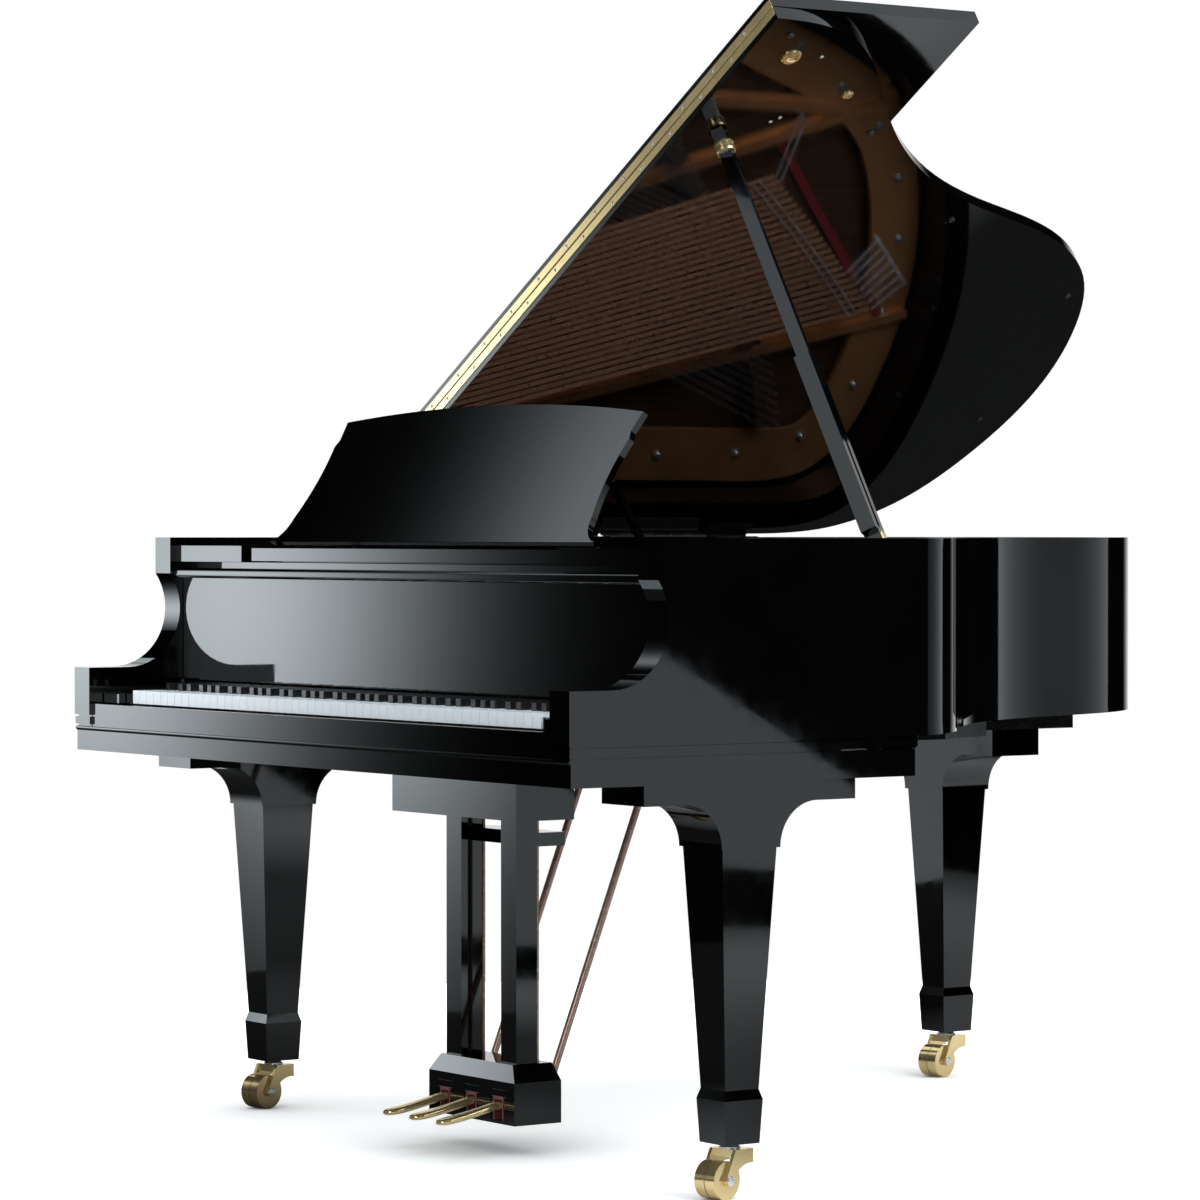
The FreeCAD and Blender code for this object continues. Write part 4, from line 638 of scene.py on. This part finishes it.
# Hitch pins stand on the plate's border, and the tails of the bass strings run to them.
BASS_NOTES = 24
HITCH_LINE = (Vector((58, 1336)), Vector((-262, 1690)))
HITCH_PIN = [(0, 0), (4.6, 0), (4.6, 1.2), (2.3, 2.0), (2.3, 14), (3.0, 15), (2.4, 16.4), (0, 16.8)]
hitch = [along(HITCH_LINE, i / (BASS_NOTES - 1)) for i in range(BASS_NOTES)]
turned("hitch_pins", HITCH_PIN, 12, [stand(*spot, PLATE_TOP) for spot in hitch if on_plate(*spot)],
       PIN_STEEL, "case", "string_steel")
FIRST_NOTE, LAST_NOTE, NOTE_FRONT = -606.3, -312.1, 545
STRING_END, STRING_TOP = 44, 940
TAIL_TOP, TAIL_SHIFT, TAIL_RADIUS = 913, 2.4, 0.9
tails = []
for i, post in enumerate(reversed(hitch)):
    note_x = FIRST_NOTE + (LAST_NOTE - FIRST_NOTE) * (i + 0.5) / BASS_NOTES
    over = on_bridge(1 - i / (BASS_NOTES - 1))[0]
    end = over + (over - Vector((note_x, NOTE_FRONT))).normalized() * STRING_END
    if on_plate(*post):
        for side in (-TAIL_SHIFT, TAIL_SHIFT):
            tails.append(wire(
                at(end.x + side, end.y, STRING_TOP), at(post.x + side, post.y, TAIL_TOP), TAIL_RADIUS))
piece("bass_string_tails", gather(tails), PIN_STEEL, "case", "string_steel")

HIGHEST_SEAT = 904


def strip(line, wide, thick, count):
    """A soft strip in short lengths, each resting on what is under it, and left out over what stands high."""
    run = (line[1] - line[0]) / count
    turn = Matrix.Rotation(math.atan2(run.y, run.x), 4, "Z")
    lengths = []
    for i in range(count):
        spot = along(line, (i + 0.5) / count)
        height = top_at(*spot)
        if height is None or height > HIGHEST_SEAT:
            continue
        box = bmesh.new()
        bmesh.ops.create_cube(box, size=1)
        bmesh.ops.scale(box, vec=(run.length / 1000, wide / 1000, thick / 1000), verts=box.verts)
        lengths.append((box, [stand(*spot, height + thick / 2) @ turn]))
    return gather(lengths)


HITCH_FELT = strip((Vector((10, 1312)), Vector((-352, 1676))), wide=17, thick=6, count=60)
piece("hitch_felt", HITCH_FELT, RED_FELT, "case", "felt_and_wood")
STRING_FELT = strip((Vector((-566, 653)), Vector((560, 653))), wide=13, thick=9, count=110)
piece("string_felt", STRING_FELT, RED_FELT, "case", "felt_and_wood")

# Bolts round the plate's border.
BOLT = [(0, 0), (9.5, 0), (9.5, 1.4), (6.8, 1.9), (6.8, 5.6), (5.6, 6.8), (0, 7.0)]
BOLT_PLACES = (
    (-632, 700), (-632, 880), (-632, 1060), (-632, 1240), (-628, 1420), (-590, 1560), (-480, 1648),
    (-330, 1664), (-180, 1652), (-60, 1610), (40, 1530), (110, 1420), (180, 1300), (280, 1160), (420, 1000),
    (540, 860), (622, 720), (-500, 480), (-200, 480), (100, 480), (400, 480))
turned("plate_bolts", BOLT, 20, [stand(*spot, PLATE_TOP) for spot in BOLT_PLACES if on_plate(*spot)],
       STEEL, "case", "string_steel")


# ---------------------------------------------------------------- floor, world and light

FLOOR_RADIUS, FLOOR_SIDES = 2.6, 128
FLOOR_PLACE = (0.15, 0.05, -0.0006)
# How much white is added for the camera, from under the piano out to the floor's edge.
FADE_START, FADE_END, FADE_LOW, FADE_HIGH = 1.2, 2.1, 0.64, 1.0
# Contact shadows: how near a thing has to be, and how fast they deepen.
CONTACT_REACH, CONTACT_POWER = 0.3, 1.8
# What other rays see of the floor, as painted shade: (place on the ramp, level) outward from the band's centre;
# the floor is made darker near that centre, under the piano's right side, and outside a broad round band.
RING_CENTRE, RING_SCALE = (0.85, 0.45, 0), 0.4
PAINTED_SHADE_LEVELS = ((0.22, 0.24), (0.48, 1.0), (0.58, 1.0), (0.78, 0.06))


def grey(level):
    return (level, level, level)


def floor_material():
    """White to the camera, with soft contact shadows; to other rays pale and matt, with painted shade under the
    piano's right side and outside a broad round band.
    """
    material = bpy.data.materials.new("pale_floor")
    nodes = Tree(material)
    place = nodes.add("ShaderNodeTexCoord").outputs["Object"]
    camera_ray = nodes.add("ShaderNodeLightPath").outputs["Is Camera Ray"]
    # The matt floor, with painted shade for mirrors: its colour is full only in a broad round band to the right
    # of the piano, and made darker inside that band, under the piano's right side, and outside it.
    grain = nodes.add("ShaderNodeTexNoise", {"Vector": place, "Scale": 3}).outputs[0]
    tone = nodes.ramp(grain, (0, grey(0.78)), (1, grey(0.82)))
    reach = nodes.vector("LENGTH", nodes.vector("SUBTRACT", place, RING_CENTRE, result="Vector"))
    painted_shade_ring = nodes.ramp(
        nodes.math("MULTIPLY", reach, RING_SCALE), *((spot, grey(level)) for spot, level in PAINTED_SHADE_LEVELS))
    kept = nodes.math("MAXIMUM", painted_shade_ring, camera_ray)
    # Painted shade: for every ray but the camera's, the floor's colour is scaled down by the band's levels.
    painted_shade_tone = nodes.add("ShaderNodeVectorMath", {0: tone, "Scale": kept}, operation="SCALE").outputs[0]
    matt = nodes.add("ShaderNodeBsdfDiffuse", {"Color": painted_shade_tone})
    # The white that is added for the camera, less of it where something stands near.
    fade = nodes.spread(
        nodes.vector("LENGTH", place), FADE_LOW, FADE_HIGH, FADE_START, FADE_END,
        interpolation_type="SMOOTHSTEP")
    share = nodes.math("MULTIPLY", fade, camera_ray)
    near = nodes.add("ShaderNodeAmbientOcclusion", {"Distance": CONTACT_REACH}, samples=8).outputs["AO"]
    shaded = nodes.math("MULTIPLY", share, nodes.math("POWER", near, CONTACT_POWER))
    white = nodes.add("ShaderNodeEmission", {"Strength": shaded})
    both = nodes.add("ShaderNodeAddShader", {0: matt.outputs[0], 1: white.outputs[0]})
    nodes.add("ShaderNodeOutputMaterial", {"Surface": both.outputs[0]})
    return material


disc = bmesh.new()
bmesh.ops.create_circle(disc, cap_ends=True, segments=FLOOR_SIDES, radius=FLOOR_RADIUS)
floor = set_out("floor", bpy.data.meshes.new("floor"))
disc.to_mesh(floor.data)
disc.free()
floor.location = FLOOR_PLACE
dress(floor, floor_material())

LIGHT_TINT = (0.87, 0.955, 1.0, 1)


def glow_material(name, strength, fall=None, slope=None):
    """Light that is even, fades as a bell from its middle, or fades along its width from one edge."""
    material = bpy.data.materials.new(name)
    nodes = Tree(material)
    level = strength
    if fall or slope:
        place = nodes.add("ShaderNodeTexCoord").outputs["Object"]
        if fall:
            power = nodes.math("MULTIPLY", nodes.vector("DOT_PRODUCT", place, place), -fall)
        else:
            split = nodes.add("ShaderNodeSeparateXYZ", {0: place})
            power = nodes.math("MULTIPLY", nodes.math("ADD", split.outputs["X"], 1), -slope)
        level = nodes.math("MULTIPLY", nodes.math("EXPONENT", power), strength)
    glow = nodes.add("ShaderNodeEmission", {"Color": LIGHT_TINT, "Strength": level})
    nodes.add("ShaderNodeOutputMaterial", {"Surface": glow.outputs[0]})
    return material


def stage_light(name, corners, material):
    """A flat light of the studio, unseen by the camera."""
    mesh = bpy.data.meshes.new(name)
    mesh.from_pydata([tuple(corner) for corner in corners], [], [tuple(range(len(corners)))])
    thing = set_out(name, mesh)
    thing.visible_camera = False
    thing.visible_shadow = False
    dress(thing, material)
    return thing


SQUARE = ((-1, -1, 0), (1, -1, 0), (1, 1, 0), (-1, 1, 0))


def panel(name, centre, aim, size, strength, fall=None):
    thing = stage_light(name, SQUARE, glow_material(name, strength, fall))
    thing.location = centre
    thing.rotation_euler = (Vector(aim) - Vector(centre)).to_track_quat("Z", "Y").to_euler()
    thing.scale = (size[0] / 2, size[1] / 2, 1)
    return thing


def toward(start, direction, length):
    return Vector(start) + Vector(direction).normalized() * length


# The lights that faces toward the player mirror: gap is how far off they stand, shift how far along.
FALL_CENTRE = at(0, 190, 850)
FRONT_WAY = (-0.82, -0.571, 0)
ACROSS = Vector((0.571, -0.82, 0))
for name, gap, shift, rise, size, strength, fall in (
        ("front_light", 3.0, -0.5, 0.04, (2.6, 4.8), 5.9, 13.0),
        ("front_wall", 3.2, 0.6, 0.1, (3.4, 1.1), 0.26, None)):
    offset = ACROSS * shift + Vector((0, 0, rise))
    panel(name, toward(FALL_CENTRE, FRONT_WAY, gap) + offset, FALL_CENTRE + offset, size, strength, fall)
# The one in the leaning desk, turned to the desk's own slope.
DESK_CENTRE = at(0, 300, 1080)
DESK_WAY = (-0.82, -0.263, 0.507)
DESK_SHIFT = Vector((0.513, -0.727, 0.454)) * 0.24
DESK_TURN = math.radians(-31.8)
desk_light = panel(
    "desk_light", toward(DESK_CENTRE, DESK_WAY, 3.0) + DESK_SHIFT, DESK_CENTRE,
    size=(2.0, 8.0), strength=1.45, fall=19.0)
desk_light.rotation_euler.rotate_axis("Z", DESK_TURN)
# Lights that only mirrors see: each draws a bright line along the rounded edges of one direction.
ARM_CORNER = at(743, 100, 800)
for name, centre, aim, size, strength in (
        ("edge_light", toward(FALL_CENTRE, (-0.82, 0.35, 0.45), 3.0), FALL_CENTRE, (1.4, 1.3), 1.2),
        ("rim_edge_light", (0.85, 1.5, 3.3), at(743, 900, 984), (1.8, 1.8), 1.2),
        ("corner_light", toward(ARM_CORNER, (0.545, -0.79, 0.08), 2.6), ARM_CORNER, (1.1, 1.4), 6.0),
        ("prop_light", (0.65, -2.9, 2.9), at(500, 620, 1200), (1.3, 1.0), 1.5)):
    panel(name, centre, aim, size, strength).visible_diffuse = False
# A low card on the left, in the rear leg.
stage_light(
    "rear_leg_card", [(-2.2, -1.0, 0.02), (-2.2, 0.1, 0.02), (-2.2, 0.1, 0.6), (-2.2, -1.0, 0.6)],
    glow_material("rear_leg_card", strength=1.2))
# A card with a slanted top edge, in the right side of the case and legs: (run, rise) of its corners.
CARD_FOOT = Vector((3.19, 1.16, 0))
CARD_RUN = Vector((-0.586, 0.81, 0))
CARD_CORNERS = ((-1.2, 0.02), (0.97, 0.02), (-1.2, 1.449))
stage_light(
    "side_card", [CARD_FOOT + CARD_RUN * run + Vector((0, 0, rise)) for run, rise in CARD_CORNERS],
    glow_material("side_card", strength=1.15))
# A tall strip behind, in the curve of the tail.
tail_strip = stage_light("tail_strip", SQUARE, glow_material("tail_strip", strength=0.85, slope=0.95))
tail_strip.location = (0.75, 3.3, 0.75)
tail_strip.rotation_euler = (math.radians(90), 0, 0)
tail_strip.scale = (0.75, 0.74, 1)
# Light into the open case, mirrored by the strings.
panel("case_light", (2.2, 0.7, 2.7), at(-150, 1100, 930), size=(3.0, 3.0), strength=14.0, fall=3.0)
panel("side_light", (3.4, -0.4, 2.4), at(-100, 1000, 930), size=(1.6, 1.6), strength=4.0, fall=3.0)
# Plain soft light from above and in front, which no polished face mirrors.
PIANO_MIDDLE = (0, 0, 0.7)
for name, centre, size, strength in (
        ("top_light", (0.6, -0.6, 4.2), (4.5, 4.5), 3.0), ("fill_light", (3.2, -4.2, 2.6), (3.2, 3.2), 2.2)):
    panel(name, centre, PIANO_MIDDLE, size, strength).visible_glossy = False

WHITE = (1, 1, 1, 1)
PLAIN_TINT, PLAIN_STRENGTH = (0.97, 0.985, 1.0, 1), 0.75
# The mirrored wall: its direction, and the cosines between which it fades in.
WALL_WAY, WALL_START, WALL_END = (-0.82, 0.571, 0), 0.86, 0.985


def world_light():
    """White to the camera; to mirrors one white wall behind the object; to other rays a plain level."""
    world = bpy.data.worlds.new("studio")
    bpy.context.scene.world = world
    nodes = Tree(world)
    way = nodes.add("ShaderNodeTexCoord").outputs["Generated"]
    wall = nodes.spread(
        nodes.vector("DOT_PRODUCT", way, WALL_WAY), 0.0, 1.0, WALL_START, WALL_END,
        interpolation_type="SMOOTHSTEP")
    rays = nodes.add("ShaderNodeLightPath").outputs
    shiny = nodes.math("MAXIMUM", rays["Is Glossy Ray"], rays["Is Transmission Ray"])
    plain = nodes.add("ShaderNodeBackground", {"Color": PLAIN_TINT, "Strength": PLAIN_STRENGTH})
    mirrored = nodes.add("ShaderNodeBackground", {"Color": WHITE, "Strength": wall})
    white = nodes.add("ShaderNodeBackground", {"Color": WHITE})
    unseen = nodes.add("ShaderNodeMixShader", {0: shiny, 1: plain.outputs[0], 2: mirrored.outputs[0]})
    both = nodes.add(
        "ShaderNodeMixShader", {0: rays["Is Camera Ray"], 1: unseen.outputs[0], 2: white.outputs[0]})
    nodes.add("ShaderNodeOutputWorld", {"Surface": both.outputs[0]})


world_light()
